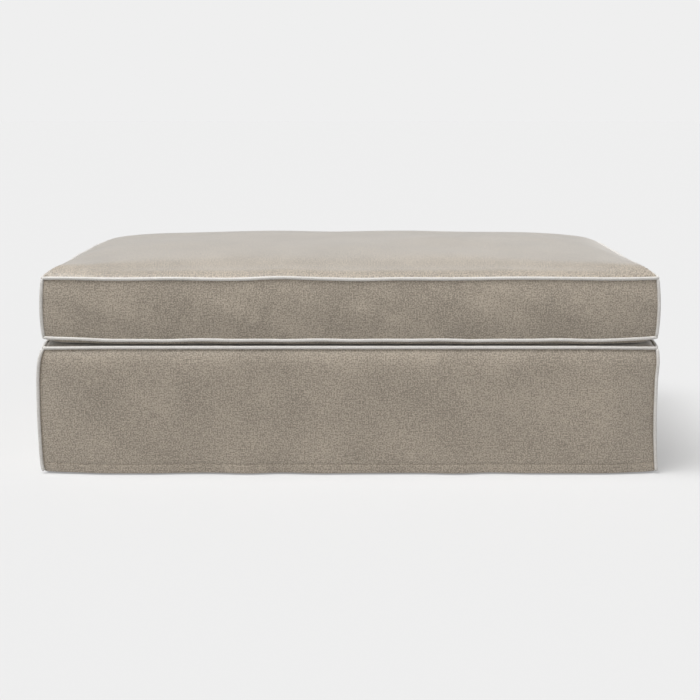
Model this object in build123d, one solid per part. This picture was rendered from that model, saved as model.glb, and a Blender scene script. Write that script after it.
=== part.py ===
from build123d import *
import math
import os

# Slipcovered ottoman coffee table in millimetres: a padded wooden box frame on four short legs,
# a fitted slipcover that falls to the floor, and a loose box cushion whose cover zips at the back.
# X runs from left to right, Y from front to back and Z up. The origin is on the floor, under the middle.

# Cushion, measured between its seams
cushion_width = 1270.0
cushion_depth = 760.0
boxing_height = 127.0
boxing_bulge = 8.0
crown_height = 51.0
crown_reach = 340.0
underside_drop = 12.0
underside_reach = 70.0
cushion_corner_run = 110.0
seam_draw_in = 4.0
boxing_draw_in = 8.0
crown_draw_in = 24.0
crown_rise_shares = (0.0, 0.18, 0.435, 0.775, 1.0)
crown_inset_shares = (0.0, 0.06, 0.18, 0.53, 1.0)
crown_draw_in_shares = (0.0, 0.15, 0.45, 1.0, 0.2)
crown_run_shares = (1.0, 1.0, 1.0, 0.9, 0.3)
underside_drop_shares = (0.0, 0.5, 1.0)
underside_inset_shares = (0.0, 0.3, 1.0)

# Slipcover, measured between its seams
base_overhang = 2.0
base_width = cushion_width + 2 * base_overhang
base_depth = cushion_depth + 2 * base_overhang
deck_height = 267.0
hem_clearance = 3.0
hem_depth = 19.0
skirt_flare = 11.0
skirt_full_height_share = 0.72
skirt_shoulder_flare_share = 0.72
skirt_shoulder_height_share = 0.89
hem_flare = 10.0
base_corner_run = 110.0
deck_draw_in = 8.0
skirt_shoulder_draw_in = 12.5
skirt_draw_in = 14.0
hem_draw_in = 12.0

# Cloth, cord and the play between pieces
cloth = 2.0
cord_radius = 3.3
cord_sides = 8
cord_turn_radius = 7.0
cord_stand_off = 1.5
flange_width = 6.0
flange_cloth = 1.2
play = 0.3
soft_play = 0.5
overrun = 40.0
seam_wedge = 100.0
quarter_turn = 90.0
cord_gap_share = 0.85

# Zip in the back boxing
zip_from_corner = 135.0
zip_length = cushion_width - 2 * zip_from_corner
zip_row_height = 5.8
zip_row_thickness = 2.4
zip_tape_height = 14.0
zip_tape_cloth = 0.8
zip_tape_end = 8.0
zip_slot_play = 0.8
slider_length = 12.0
slider_wall = 1.2
slider_round = 2.0
slider_park = 3.0
bail_length = 8.0
bail_width = 2.4
bail_wall = 1.0
pull_pin_radius = 0.8
pull_pin_lift = 1.3
pull_arm_gap = 0.4
pull_arm_wall = 1.3
pull_arm_length = 7.0
pull_length = 24.0
pull_tab_width = 7.5
pull_thickness = 1.4
pull_tip_round = 2.5

# Cushion filling
foam_corner_draw_in = 12.0
foam_edge_round = 9.0
zip_groove_depth = 6.0
zip_groove_height = 34.0

# Frame
wadding = 16.0
rail_thickness = 25.0
rail_height = 150.0
stretcher_thickness = 25.0
stretcher_height = 60.0
corner_block_side = 130.0
corner_block_height = 90.0
bore_play = 0.1

# Legs
leg_top_width = 54.0
leg_foot_width = 42.0
leg_edge_chamfer = 3.0
leg_from_rail = 36.0
bolt_radius = 4.0
bolt_in_block = 45.0
bolt_end_play = 2.0
glide_radius = 14.0
glide_foot_radius = 11.0
glide_height = 6.0

# Deck
deck_padding = 25.0
webbing_cloth = 1.6
webbing_width = 70.0
webbing_margin = 8.0
webbing_end_inset = 4.0
cross_webbings = 7
long_webbings = 3
dust_cloth = 1.0
dust_cover_inset = 6.0

# Heights that follow from the sizes above
deck_cord_height = deck_height - cloth - flange_cloth / 2
padding_top = deck_height - cloth - flange_cloth - play
padding_bottom = padding_top - deck_padding
webbing_step = (webbing_cloth + play) / 2
rail_top = padding_bottom - play - webbing_cloth - webbing_step
rail_bottom = rail_top - rail_height
leg_top = rail_bottom - dust_cloth
leg_length = leg_top - glide_height
bolt_in_leg = leg_length / 2
cord_room = cord_radius + play
bottom_seam = deck_height + play + underside_drop
top_seam = bottom_seam + boxing_height
boxing_middle = (bottom_seam + top_seam) / 2
skirt_top = deck_cord_height - cord_room
skirt_full_height = hem_clearance + skirt_full_height_share * (skirt_top - hem_clearance)
skirt_shoulder_height = hem_clearance + skirt_shoulder_height_share * (skirt_top - hem_clearance)

# Half sizes
cushion_half = (cushion_width / 2, cushion_depth / 2)
base_half = (base_width / 2, base_depth / 2)
frame_inset = cloth + soft_play + wadding
frame_half = (base_half[0] - frame_inset, base_half[1] - frame_inset)
corners = {
    "front_left": (-1, -1),
    "front_right": (1, -1),
    "back_right": (1, 1),
    "back_left": (-1, 1),
}
sides = ("front", "right", "back", "left")
stands_up = (Align.CENTER, Align.CENTER, Align.MIN)
hangs_down = (Align.CENTER, Align.CENTER, Align.MAX)


def soft_outline(half, grow, draw_in, run, height):
    """A rectangle whose sides are straight in the middle and curve in towards four sewn corners."""
    half_x, half_y = half[0] + grow, half[1] + grow
    edges, straight_start = [], None
    for sign_x, sign_y in ((-1, -1), (1, -1), (1, 1), (-1, 1)):
        corner = (sign_x * (half_x - draw_in), sign_y * (half_y - draw_in), height)
        along_x = (sign_x * (half_x - run), sign_y * half_y, height)
        along_y = (sign_x * half_x, sign_y * (half_y - run), height)
        to_corner = {
            along_x: TangentArc(along_x, corner, tangent=(sign_x, 0, 0)),
            along_y: TangentArc(along_y, corner, tangent=(0, sign_y, 0)),
        }
        arrives, leaves = (along_y, along_x) if sign_x == sign_y else (along_x, along_y)
        if straight_start:
            edges.append(Line(straight_start, arrives))
        else:
            first_arrival = arrives
        edges += [to_corner[arrives], to_corner[leaves]]
        straight_start = leaves
    edges.append(Line(straight_start, first_arrival))
    return Wire(edges)


def soft_body(half, levels, faceted=False):
    """A body through outlines, each given as height, growth, corner draw-in and corner run.

    A faceted one, for hidden insides, runs straight from outline to outline. A smooth one is lofted in
    stages of up to three outlines, so that it can't swing out between them."""
    outlines = [soft_outline(half, grow, draw_in, run, height) for height, grow, draw_in, run in levels]
    if faceted:
        return Solid.make_loft(outlines, ruled=True)
    first, *others = [Solid.make_loft(outlines[i : i + 3]) for i in range(0, len(outlines) - 1, 2)]
    return first.fuse(*others) if others else first


def slab(low, high):
    """A horizontal layer, wider than the whole object, between two heights."""
    reach = base_width + base_depth
    return Pos(0, 0, (low + high) / 2) * Box(reach, reach, high - low)


def boxing_levels(inset, low, high, end_inset=0.0):
    """The boxing swells between its two seams; a filling can be drawn in further at its ends."""
    end = (-inset - end_inset, seam_draw_in, cushion_corner_run)
    middle = (boxing_bulge - inset, boxing_draw_in, cushion_corner_run)
    return [(low, *end), (boxing_middle, *middle), (high, *end)]


def crown_levels(inset, lower):
    """The top panel springs from its seam in a tight shoulder and flattens into a low crown."""
    start = top_seam + cord_room
    levels = []
    shares = zip(crown_rise_shares, crown_inset_shares, crown_draw_in_shares, crown_run_shares)
    for rise, reach, pull, run in shares:
        levels.append(
            (
                start + rise * (crown_height - cord_room) - lower,
                -inset - reach * crown_reach,
                seam_draw_in + pull * (crown_draw_in - seam_draw_in),
                run * cushion_corner_run,
            )
        )
    return levels


def underside_levels(inset, lift):
    """The bottom panel drops from its seam and is pressed flat on the deck."""
    start = bottom_seam - cord_room
    levels = []
    for drop, reach in zip(underside_drop_shares, underside_inset_shares):
        levels.append(
            (
                start - drop * (underside_drop - cord_room) + lift,
                -inset - reach * underside_reach,
                seam_draw_in,
                cushion_corner_run,
            )
        )
    return levels


def skirt_levels(inset):
    """The skirt leaves the deck seam, rounds a shoulder, fills out, and hangs in slightly to its hem."""
    shoulder_flare = skirt_shoulder_flare_share * skirt_flare
    return [
        (skirt_top, -inset, deck_draw_in, base_corner_run),
        (skirt_shoulder_height, shoulder_flare - inset, skirt_shoulder_draw_in, base_corner_run),
        (skirt_full_height, skirt_flare - inset, skirt_draw_in, base_corner_run),
        (hem_clearance, hem_flare - inset, hem_draw_in, base_corner_run),
    ]


def side_zone(side, half, low, high, seam_gap):
    """The prism that holds one side's panel, cut back from the corner seams by seam_gap."""
    turn = sides.index(side)
    across, out = half if turn % 2 == 0 else (half[1], half[0])
    back_off = math.hypot(seam_gap, seam_gap)
    outer_x, outer_y = across + overrun - back_off, out + overrun
    inner_x, inner_y = across - seam_wedge - back_off, out - seam_wedge
    outline = Polyline(
        (outer_x, -outer_y), (inner_x, -inner_y), (-inner_x, -inner_y), (-outer_x, -outer_y), close=True
    )
    prism = extrude(make_face(outline), amount=high - low)
    return Rot(0, 0, turn * quarter_turn) * Pos(0, 0, low) * prism


def corner_point(half, grow, draw_in, signs, height):
    """Where two sides meet in a corner seam."""
    return Vector(signs[0] * (half[0] + grow - draw_in), signs[1] * (half[1] + grow - draw_in), height)


def edge_cord(half, draw_in, run, height):
    """Piping that runs round a flat seam: a covered cord and the flange that is sewn into the seam."""
    path = soft_outline(half, cord_stand_off, draw_in, run, height)
    corner_places = [corner_point(half, cord_stand_off, draw_in, s, height) for s in corners.values()]
    turns = [path.vertices().sort_by_distance(place)[0] for place in corner_places]
    path = path.fillet_2d(cord_turn_radius, turns)
    section = Plane(origin=path @ 0, z_dir=path % 0) * RegularPolygon(cord_radius, cord_sides)
    cord = Solid.sweep(section.face(), path)
    low = height - flange_cloth / 2
    flange = extrude(make_face(soft_outline(half, 0, draw_in, run, low)), amount=flange_cloth)
    opening = extrude(make_face(soft_outline(half, -flange_width, draw_in, run, low)), amount=flange_cloth)
    return cord + (flange - opening)


def corner_line(places):
    """A corner seam's line: an arc through three places, or a straight run that an arc carries on."""
    if len(places) == 3:
        return [ThreePointArc(*places)]
    top, shoulder, full, hem = places
    return [Line(hem, full), TangentArc(full, top, tangent=full - hem)]


def corner_cord(places, signs, low, high):
    """Piping along a corner seam, with its flange pointing in along the corner's diagonal."""
    path = Wire(corner_line(places))
    section = Plane(origin=path @ 0, z_dir=path % 0) * RegularPolygon(cord_radius, cord_sides)
    cord = Solid.sweep(section.face(), path)
    inward = Vector(-signs[0], -signs[1], 0).normalized() * flange_width
    outer, inner = corner_line(places), corner_line([place + inward for place in places])
    ends = [Line(places[0], places[0] + inward), Line(places[-1], places[-1] + inward)]
    flange = extrude(make_face(outer + inner + ends), amount=flange_cloth / 2, both=True)
    return (cord + flange) & slab(low, high)


def box_frame_part(size, centre):
    """A sawn board, centred on a point."""
    return Pos(*centre) * Box(*size)


def make_cushion_cover():
    """Top and bottom panels, four boxing sides, two seam cords and four corner cords."""
    low, high = bottom_seam + cord_room, top_seam - cord_room
    crown = soft_body(cushion_half, crown_levels(0, 0))
    crown -= soft_body(cushion_half, crown_levels(cloth, cloth), faceted=True)
    underside = soft_body(cushion_half, underside_levels(0, 0))
    underside -= soft_body(cushion_half, underside_levels(cloth, cloth), faceted=True)
    parts = {"cushion_top_panel": crown, "cushion_bottom_panel": underside}
    tube = soft_body(cushion_half, boxing_levels(0, bottom_seam, top_seam))
    tube -= soft_body(cushion_half, boxing_levels(cloth, bottom_seam, top_seam), faceted=True)
    slot_height = zip_row_height + 2 * (play + slider_wall + zip_slot_play)
    slot = Pos(0, cushion_half[1], boxing_middle) * Box(zip_length, overrun, slot_height)
    for side in sides:
        panel = tube & side_zone(side, cushion_half, low, high, cord_gap_share * cord_room)
        parts["boxing_" + side] = panel - slot if side == "back" else panel
    for name, height in (("top", top_seam), ("bottom", bottom_seam)):
        parts[f"cushion_{name}_piping"] = edge_cord(cushion_half, seam_draw_in, cushion_corner_run, height)
    for name, signs in corners.items():
        line = (
            corner_point(cushion_half, 0, seam_draw_in, signs, bottom_seam),
            corner_point(cushion_half, boxing_bulge, boxing_draw_in, signs, boxing_middle),
            corner_point(cushion_half, 0, seam_draw_in, signs, top_seam),
        )
        parts["cushion_corner_piping_" + name] = corner_cord(line, signs, low, high)
    return parts


def make_cushion_filling():
    """A foam slab, grooved for the zip, between an upper and a lower layer of fibre."""
    inset = cloth + soft_play
    flange_top = top_seam + flange_cloth / 2 + play
    flange_bottom = bottom_seam - flange_cloth / 2 - play
    top_levels = [(flange_top, -inset, seam_draw_in, cushion_corner_run)]
    top_levels += crown_levels(inset, inset)[1:]
    bottom_levels = [(flange_bottom, -inset, seam_draw_in, cushion_corner_run)]
    bottom_levels += underside_levels(inset, inset)[1:]
    foam_levels = [
        (z, grow, draw_in + foam_corner_draw_in, run)
        for z, grow, draw_in, run in boxing_levels(inset, flange_bottom, flange_top, foam_edge_round)
    ]
    groove = Pos(0, cushion_half[1] + boxing_bulge - cloth - zip_groove_depth, boxing_middle) * Box(
        zip_length + 2 * zip_tape_end + 2 * soft_play,
        zip_groove_depth,
        zip_groove_height,
        align=(Align.CENTER, Align.MIN, Align.CENTER),
    )
    return {
        "foam_core": soft_body(cushion_half, foam_levels, faceted=True) - groove,
        "fibre_wrap_top": soft_body(cushion_half, top_levels, faceted=True),
        "fibre_wrap_bottom": soft_body(cushion_half, bottom_levels, faceted=True),
    }


def zip_depths():
    """How far back the tape's outer face and the closed rows' outer face lie."""
    tape_edge = zip_tape_height + play / 2
    sag = boxing_bulge * tape_edge / (boxing_height / 2)
    tape_face = cushion_half[1] + boxing_bulge - cloth - sag - play
    return tape_face, tape_face + zip_row_thickness


def make_zip():
    """Two tapes, the closed rows between them, a slider that rides on the rows, and its hinged pull."""
    tape_face, row_face = zip_depths()
    middle = boxing_middle
    tape = Box(zip_length + 2 * zip_tape_end, zip_tape_cloth, zip_tape_height - play / 2)
    lift = (zip_tape_height + play / 2) / 2
    place_y = tape_face - zip_tape_cloth / 2
    tapes = [Pos(0, place_y, middle + lift) * tape, Pos(0, place_y, middle - lift) * tape]
    row_y = tape_face + zip_row_thickness / 2
    rows = Pos(0, row_y, middle) * Box(zip_length, zip_row_thickness, zip_row_height)

    plate_back = row_face + play
    plate_face = plate_back + slider_wall
    half_height = zip_row_height / 2 + play + slider_wall
    park_x = zip_length / 2 - slider_park - slider_length / 2
    shell_depth = plate_face - tape_face - play
    shell_y = plate_face - shell_depth / 2
    shell = Pos(park_x, shell_y, middle) * Box(slider_length, shell_depth, 2 * half_height)
    shell = fillet(shell.edges().filter_by(Axis.Y), slider_round)
    channel = Pos(park_x, plate_back - shell_depth / 2, middle) * Box(
        slider_length, shell_depth, 2 * (half_height - slider_wall)
    )
    pin_y = plate_face + pull_pin_lift
    bail_inner = pull_pin_radius + play
    bail_height = pin_y + bail_inner + bail_wall - plate_face
    bail = Pos(park_x, plate_face + bail_height / 2, middle) * Box(bail_length, bail_height, bail_width)
    bail = fillet(bail.edges().filter_by(Axis.Z).group_by(Axis.Y)[-1], bail_wall)
    window_height = bail_height - bail_wall
    window = Pos(park_x, plate_face + window_height / 2, middle) * Box(
        bail_length - 2 * bail_wall, window_height, bail_width
    )
    slider = (shell - channel) + (bail - window)

    arm_z = bail_width / 2 + pull_arm_gap + pull_arm_wall / 2
    pin = Pos(park_x, pin_y, middle) * Cylinder(pull_pin_radius, 2 * arm_z)
    arms = []
    for side in (-1, 1):
        start = (park_x, pin_y, middle + side * arm_z)
        arm = Pos(*start) * Box(
            pull_arm_length, pull_thickness, pull_arm_wall, align=(Align.MAX, Align.CENTER, Align.CENTER)
        )
        eye = Pos(*start) * Cylinder(pull_thickness / 2, pull_arm_wall)
        arms += [arm, eye]
    tab = Pos(park_x - pull_arm_length + pull_arm_wall, pin_y, middle) * Box(
        pull_length - pull_arm_length,
        pull_thickness,
        pull_tab_width,
        align=(Align.MAX, Align.CENTER, Align.CENTER),
    )
    tab = fillet(tab.edges().filter_by(Axis.Y).group_by(Axis.X)[0], pull_tip_round)
    pull = pin + arms + tab
    return {
        "zip_tape": Compound(children=tapes),
        "zip_rows": rows,
        "zip_slider": slider,
        "zip_pull": pull,
    }


def make_slipcover():
    """A flat deck panel, four skirts with turned-up hems, the deck cord and four corner cords."""
    panel_outline = soft_outline(base_half, -cord_room, deck_draw_in, base_corner_run, deck_height - cloth)
    parts = {"deck_panel": extrude(make_face(panel_outline), amount=cloth)}
    hem_top = hem_clearance + hem_depth
    hollow = soft_body(base_half, skirt_levels(cloth), faceted=True) & slab(hem_top, skirt_top)
    hem_hollow = soft_body(base_half, skirt_levels(2 * cloth), faceted=True) & slab(hem_clearance, hem_top)
    tube = soft_body(base_half, skirt_levels(0)) - hollow - hem_hollow
    for side in sides:
        zone = side_zone(side, base_half, hem_clearance, skirt_top, cord_gap_share * cord_room)
        parts["skirt_" + side] = tube & zone
    parts["deck_piping"] = edge_cord(base_half, deck_draw_in, base_corner_run, deck_cord_height)
    for name, signs in corners.items():
        line = [corner_point(base_half, level[1], level[2], signs, level[0]) for level in skirt_levels(0)]
        parts["skirt_corner_piping_" + name] = corner_cord(line, signs, hem_clearance, skirt_top)
    return parts


def make_frame():
    """Four rails butted into a box, a low stretcher, and glued corner blocks."""
    half_x, half_y = frame_half
    rail_middle = (rail_top + rail_bottom) / 2
    inner_x, inner_y = half_x - rail_thickness, half_y - rail_thickness
    long_rail = (2 * half_x, rail_thickness, rail_height)
    short_rail = (rail_thickness, 2 * inner_y, rail_height)
    rail_y, rail_x = half_y - rail_thickness / 2, half_x - rail_thickness / 2
    parts = {
        "front_rail": box_frame_part(long_rail, (0, -rail_y, rail_middle)),
        "back_rail": box_frame_part(long_rail, (0, rail_y, rail_middle)),
        "left_rail": box_frame_part(short_rail, (-rail_x, 0, rail_middle)),
        "right_rail": box_frame_part(short_rail, (rail_x, 0, rail_middle)),
        "centre_stretcher": box_frame_part(
            (stretcher_thickness, 2 * inner_y, stretcher_height), (0, 0, rail_bottom + stretcher_height / 2)
        ),
    }
    block = Polyline((0, 0), (corner_block_side, 0), (0, corner_block_side), close=True)
    for name, signs in corners.items():
        prism = extrude(make_face(block), amount=corner_block_height)
        if signs[0] > 0:
            prism = mirror(prism, Plane.YZ)
        if signs[1] > 0:
            prism = mirror(prism, Plane.XZ)
        placed = Pos(signs[0] * inner_x, signs[1] * inner_y, rail_bottom) * prism
        leg_x, leg_y = leg_centre(signs)
        bolt_bore = Pos(leg_x, leg_y, rail_bottom) * Cylinder(
            bolt_radius + bore_play, bolt_in_block + bolt_end_play, align=stands_up
        )
        parts["corner_block_" + name] = placed - bolt_bore
    return parts


def leg_centre(signs):
    """Each leg stands under its corner block, clear of both rails."""
    return (
        signs[0] * (frame_half[0] - rail_thickness - leg_from_rail),
        signs[1] * (frame_half[1] - rail_thickness - leg_from_rail),
    )


def tapered_block():
    """A square block that widens upwards from its foot, with its four long edges planed off."""
    near = (leg_top_width - leg_foot_width) / 2
    far = leg_top_width - near
    block = Wedge(leg_top_width, leg_length, leg_top_width, near, near, far, far)
    long_edges = [edge for edge in block.edges() if edge.bounding_box().size.Y > leg_edge_chamfer]
    return Rot(-quarter_turn, 0, 0) * chamfer(long_edges, leg_edge_chamfer)


def make_legs():
    """Tapered block legs on hanger bolts, each with a glide under its foot."""
    parts, bolts, glides = {}, [], []
    for name, signs in corners.items():
        x, y = leg_centre(signs)
        leg = Pos(x, y, glide_height + leg_length / 2) * tapered_block()
        bolt_room = Pos(x, y, leg_top) * Cylinder(
            bolt_radius + bore_play, bolt_in_leg + bolt_end_play, align=hangs_down
        )
        parts["leg_" + name] = leg - bolt_room
        bolt_length = bolt_in_leg + dust_cloth + bolt_in_block
        bolts.append(Pos(x, y, leg_top - bolt_in_leg) * Cylinder(bolt_radius, bolt_length, align=stands_up))
        glides.append(Pos(x, y, 0) * Cone(glide_foot_radius, glide_radius, glide_height, align=stands_up))
    parts["leg_bolts"] = Compound(children=bolts)
    parts["glides"] = Compound(children=glides)
    return parts


def woven_strip(length, crossings, first_over):
    """A webbing strip seen from its side: it steps over one crossing strip and under the next."""
    points = [(-length / 2, 0)]
    half_flat = webbing_width / 2 + webbing_margin
    for number, place in enumerate(crossings):
        step = webbing_step if (number % 2 == 0) == first_over else -webbing_step
        first, last = place - half_flat, place + half_flat
        points += [(first - webbing_margin, 0), (first, step), (last, step), (last + webbing_margin, 0)]
    points.append((length / 2, 0))
    upper = [(s, z + webbing_cloth) for s, z in reversed(points)]
    return make_face(Polyline(*points, *upper, close=True))


def even_places(half_span, numbers):
    """Places at equal steps inside a span, none of them on its ends."""
    steps = len(numbers) + 1
    return [half_span * (2 * (number + 1) / steps - 1) for number in numbers]


def make_deck():
    """Interwoven webbing, a deck pad, the wadding band round the frame and a dust cover."""
    inner_x, inner_y = frame_half[0] - rail_thickness, frame_half[1] - rail_thickness
    cross_places = even_places(inner_x, range(cross_webbings))
    long_places = even_places(inner_y, range(long_webbings))
    half_width = webbing_width / 2
    parts = {}
    for number, place in enumerate(cross_places):
        side_view = woven_strip(2 * (frame_half[1] - webbing_end_inset), long_places, number % 2 == 0)
        strip = extrude(Plane.YZ * side_view, amount=half_width, both=True)
        parts[f"cross_webbing_{number + 1}"] = Pos(place, 0, rail_top) * strip
    for number, place in enumerate(long_places):
        side_view = woven_strip(2 * (frame_half[0] - webbing_end_inset), cross_places, number % 2 == 1)
        strip = extrude(Plane.XZ * side_view, amount=half_width, both=True)
        parts[f"long_webbing_{number + 1}"] = Pos(0, place, rail_top) * strip
    pad_inset = -(cloth + flange_width + soft_play)
    pad = soft_outline(base_half, pad_inset, deck_draw_in, base_corner_run, padding_bottom)
    parts["deck_padding"] = extrude(make_face(pad), amount=deck_padding)
    band_inset = cloth + soft_play
    band = soft_body(
        base_half,
        [(z, grow, draw_in + flange_width / 2, run) for z, grow, draw_in, run in skirt_levels(band_inset)],
        faceted=True,
    )
    hollow = Box(2 * (frame_half[0] + soft_play), 2 * (frame_half[1] + soft_play), 2 * deck_height)
    parts["side_wadding"] = (band & slab(rail_bottom, padding_bottom - play)) - hollow
    dust = Pos(0, 0, leg_top + dust_cloth / 2) * Box(
        2 * (frame_half[0] - dust_cover_inset), 2 * (frame_half[1] - dust_cover_inset), dust_cloth
    )
    for signs in corners.values():
        x, y = leg_centre(signs)
        dust -= Pos(x, y, leg_top) * Cylinder(bolt_radius + bore_play, 2 * dust_cloth)
    parts["dust_cover"] = dust
    return parts


def main():
    os.makedirs("parts", exist_ok=True)
    furniture = (make_frame, make_legs, make_deck, make_slipcover)
    cushion = (make_cushion_filling, make_cushion_cover, make_zip)
    for make in furniture + cushion:
        for name, shape in make().items():
            export_step(shape, f"parts/{name}.step")


main()
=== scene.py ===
# %% [markdown]
# # A slipcovered ottoman with a piped box cushion
#
# This lesson dresses a measured model of an ottoman. The measured model is the frame: it says where every
# piece is, and what moves with what. Everything soft is modelled again here as cloth, cord and wadding, and
# everything hard keeps its shape and gets a finish.

# %% Load the frame
import math
import bpy
import numpy as np
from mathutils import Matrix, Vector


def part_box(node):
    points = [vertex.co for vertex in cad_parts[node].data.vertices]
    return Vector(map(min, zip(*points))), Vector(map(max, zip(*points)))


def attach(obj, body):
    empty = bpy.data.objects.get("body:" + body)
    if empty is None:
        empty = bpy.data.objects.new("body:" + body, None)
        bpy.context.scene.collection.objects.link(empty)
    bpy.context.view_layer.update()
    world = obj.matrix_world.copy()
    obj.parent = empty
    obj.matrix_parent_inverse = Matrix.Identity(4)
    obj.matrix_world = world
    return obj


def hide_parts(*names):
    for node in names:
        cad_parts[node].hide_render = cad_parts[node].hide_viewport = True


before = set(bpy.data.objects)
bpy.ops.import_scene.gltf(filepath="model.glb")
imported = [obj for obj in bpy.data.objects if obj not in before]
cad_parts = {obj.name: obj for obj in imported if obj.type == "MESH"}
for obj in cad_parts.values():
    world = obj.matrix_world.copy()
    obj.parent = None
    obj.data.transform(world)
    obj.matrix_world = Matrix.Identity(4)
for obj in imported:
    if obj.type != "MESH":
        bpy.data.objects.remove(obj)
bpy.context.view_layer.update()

# %% [markdown]
# The sizes that everything else follows are read from the frame, so the cloth fits it without any trying. The
# piping gives the seams: its middle stands a little outside the seam line. The cord is drawn a shade thicker
# than the frame's.

# %% Read the main sizes
cord_radius = 0.0036
cord_stand_off = 0.0015
cloth = 0.002


def seam(node):
    """The half length, half depth and height of the seam that a piece of piping is sewn into."""
    low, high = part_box(node)
    outside = cord_radius + cord_stand_off
    return high[0] - outside, high[1] - outside, (low[2] + high[2]) / 2


cushion_x, cushion_y, top_seam = seam("cushion_top_piping")
bottom_seam = seam("cushion_bottom_piping")[2]
base_x, base_y, deck_seam = seam("deck_piping")
crown_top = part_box("cushion_top_panel")[1][2]
deck_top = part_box("deck_panel")[1][2]
hem_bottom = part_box("skirt_front")[0][2]
skirt_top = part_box("skirt_front")[1][2]
cushion_half = (cushion_x, cushion_y)
base_half = (base_x, base_y)
print(f"cushion seams: {2 * cushion_x:.3f} by {2 * cushion_y:.3f} m, at {bottom_seam:.3f} and {top_seam:.3f} m")
print(f"deck seam: {2 * base_x:.3f} by {2 * base_y:.3f} m, at {deck_seam:.3f} m, crown at {crown_top:.3f} m")

# %% [markdown]
# The camera stands about three metres in front, a little above the cushion, and looks slightly down, so the top
# shows as a shallow band. A long lens keeps the sides nearly parallel. The small downward shift puts the ottoman
# in the middle of the picture without tipping the camera any further.

# %% Place the camera
photo_side = 700
camera = bpy.data.objects.new("camera", bpy.data.cameras.new("camera"))
bpy.context.scene.collection.objects.link(camera)
camera.location = (0, -3.135, 0.759)
camera.rotation_euler = (math.radians(90 - 5.67), 0, 0)
camera.data.sensor_width = 36
camera.data.lens = 70
camera.data.shift_y = -110 / photo_side
bpy.context.scene.camera = camera
print("camera:", tuple(round(c, 3) for c in camera.location), "lens", camera.data.lens)

# %% [markdown]
# The light is a plain studio's: a broad soft lamp overhead and to the left, a weak fill from the front, and an even
# white room. The camera sees the room as one pale grey, while the cloth is lit by a dimmer white.

# %% Light the studio
background = 0.863
room_light = 0.27
bpy.context.scene.view_settings.view_transform = "Standard"


def add_sun(name, strength, colour, spread, turn):
    """A sun lamp whose light comes from a whole patch of the sky, spread degrees wide."""
    lamp = bpy.data.lights.new(name, "SUN")
    lamp.energy = strength
    lamp.color = colour
    lamp.angle = math.radians(spread)
    holder = bpy.data.objects.new(name, lamp)
    holder.rotation_euler = [math.radians(a) for a in turn]
    bpy.context.scene.collection.objects.link(holder)


add_sun("key_lamp", 2.82, (1.0, 1.0, 1.0), 38, (10.5, -21, 0))
add_sun("front_fill", 0.50, (1.0, 1.0, 1.0), 70, (62, 0, 10))


def seen_directly(nodes, link):
    """1 for what the camera, a mirror or glass looks at, and 0 for light that bounces."""
    rays = nodes.new("ShaderNodeLightPath")
    total = rays.outputs["Is Camera Ray"]
    for ray in ("Is Glossy Ray", "Is Transmission Ray"):
        either = nodes.new("ShaderNodeMath")
        either.operation = "MAXIMUM"
        link(total, either.inputs[0])
        link(rays.outputs[ray], either.inputs[1])
        total = either.outputs[0]
    return total


world = bpy.data.worlds.new("room")
world.use_nodes = True
bpy.context.scene.world = world
room = world.node_tree
link = room.links.new
lit = room.nodes["Background"]
lit.inputs["Color"].default_value = (1, 1, 1, 1)
lit.inputs["Strength"].default_value = room_light
seen = room.nodes.new("ShaderNodeBackground")
seen.inputs["Color"].default_value = (background, background, background, 1)
either = room.nodes.new("ShaderNodeMixShader")
link(seen_directly(room.nodes, link), either.inputs[0])
link(lit.outputs[0], either.inputs[1])
link(seen.outputs[0], either.inputs[2])
link(either.outputs[0], room.nodes["World Output"].inputs[0])

# %% [markdown]
# The floor is a sheet of paper in the room's own colour, so that it runs into the background, and it still takes
# the object's shadow. A share of plain light is mixed in where the camera looks, which keeps the shadow soft. For
# light that bounces off it the paper is darker, or it would brighten the skirt from below too much.

# %% Lay the floor
reach, shadow_lift = 60, 0.15
tone_in_bounces, tone_seen, plain_strength = 0.45, 0.55, 2.08
floor_mesh = bpy.data.meshes.new("floor")
floor_corners = [(-reach, -reach, 0), (reach, -reach, 0), (reach, reach, 0), (-reach, reach, 0)]
floor_mesh.from_pydata(floor_corners, [], [(0, 1, 2, 3)])
floor = bpy.data.objects.new("floor", floor_mesh)
bpy.context.scene.collection.objects.link(floor)
paper = bpy.data.materials.new("floor_paper")
paper.use_nodes = True
paper_shader = paper.node_tree.nodes["Principled BSDF"]
paper_shader.inputs["Roughness"].default_value = 1
paper_shader.inputs["Specular IOR Level"].default_value = 0
paper_link = paper.node_tree.links.new
paper_seen = seen_directly(paper.node_tree.nodes, paper_link)
tone = paper.node_tree.nodes.new("ShaderNodeMix")
tone.data_type = "RGBA"
tone.inputs[6].default_value = (tone_in_bounces, tone_in_bounces, tone_in_bounces, 1)
tone.inputs[7].default_value = (tone_seen, tone_seen, tone_seen, 1)
paper_link(paper_seen, tone.inputs[0])
paper_link(tone.outputs[2], paper_shader.inputs["Base Color"])
plain = paper.node_tree.nodes.new("ShaderNodeEmission")
plain.inputs["Strength"].default_value = plain_strength
lifted = paper.node_tree.nodes.new("ShaderNodeMixShader")
lift = paper.node_tree.nodes.new("ShaderNodeMath")
lift.operation = "MULTIPLY"
lift.inputs[1].default_value = shadow_lift
paper_link(paper_seen, lift.inputs[0])
paper_link(lift.outputs[0], lifted.inputs[0])
paper_link(paper_shader.outputs[0], lifted.inputs[1])
paper_link(plain.outputs[0], lifted.inputs[2])
paper_link(lifted.outputs[0], paper.node_tree.nodes["Material Output"].inputs[0])
floor_mesh.materials.append(paper)
print("floor:", 2 * reach, "m wide, in", paper.name)

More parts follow.
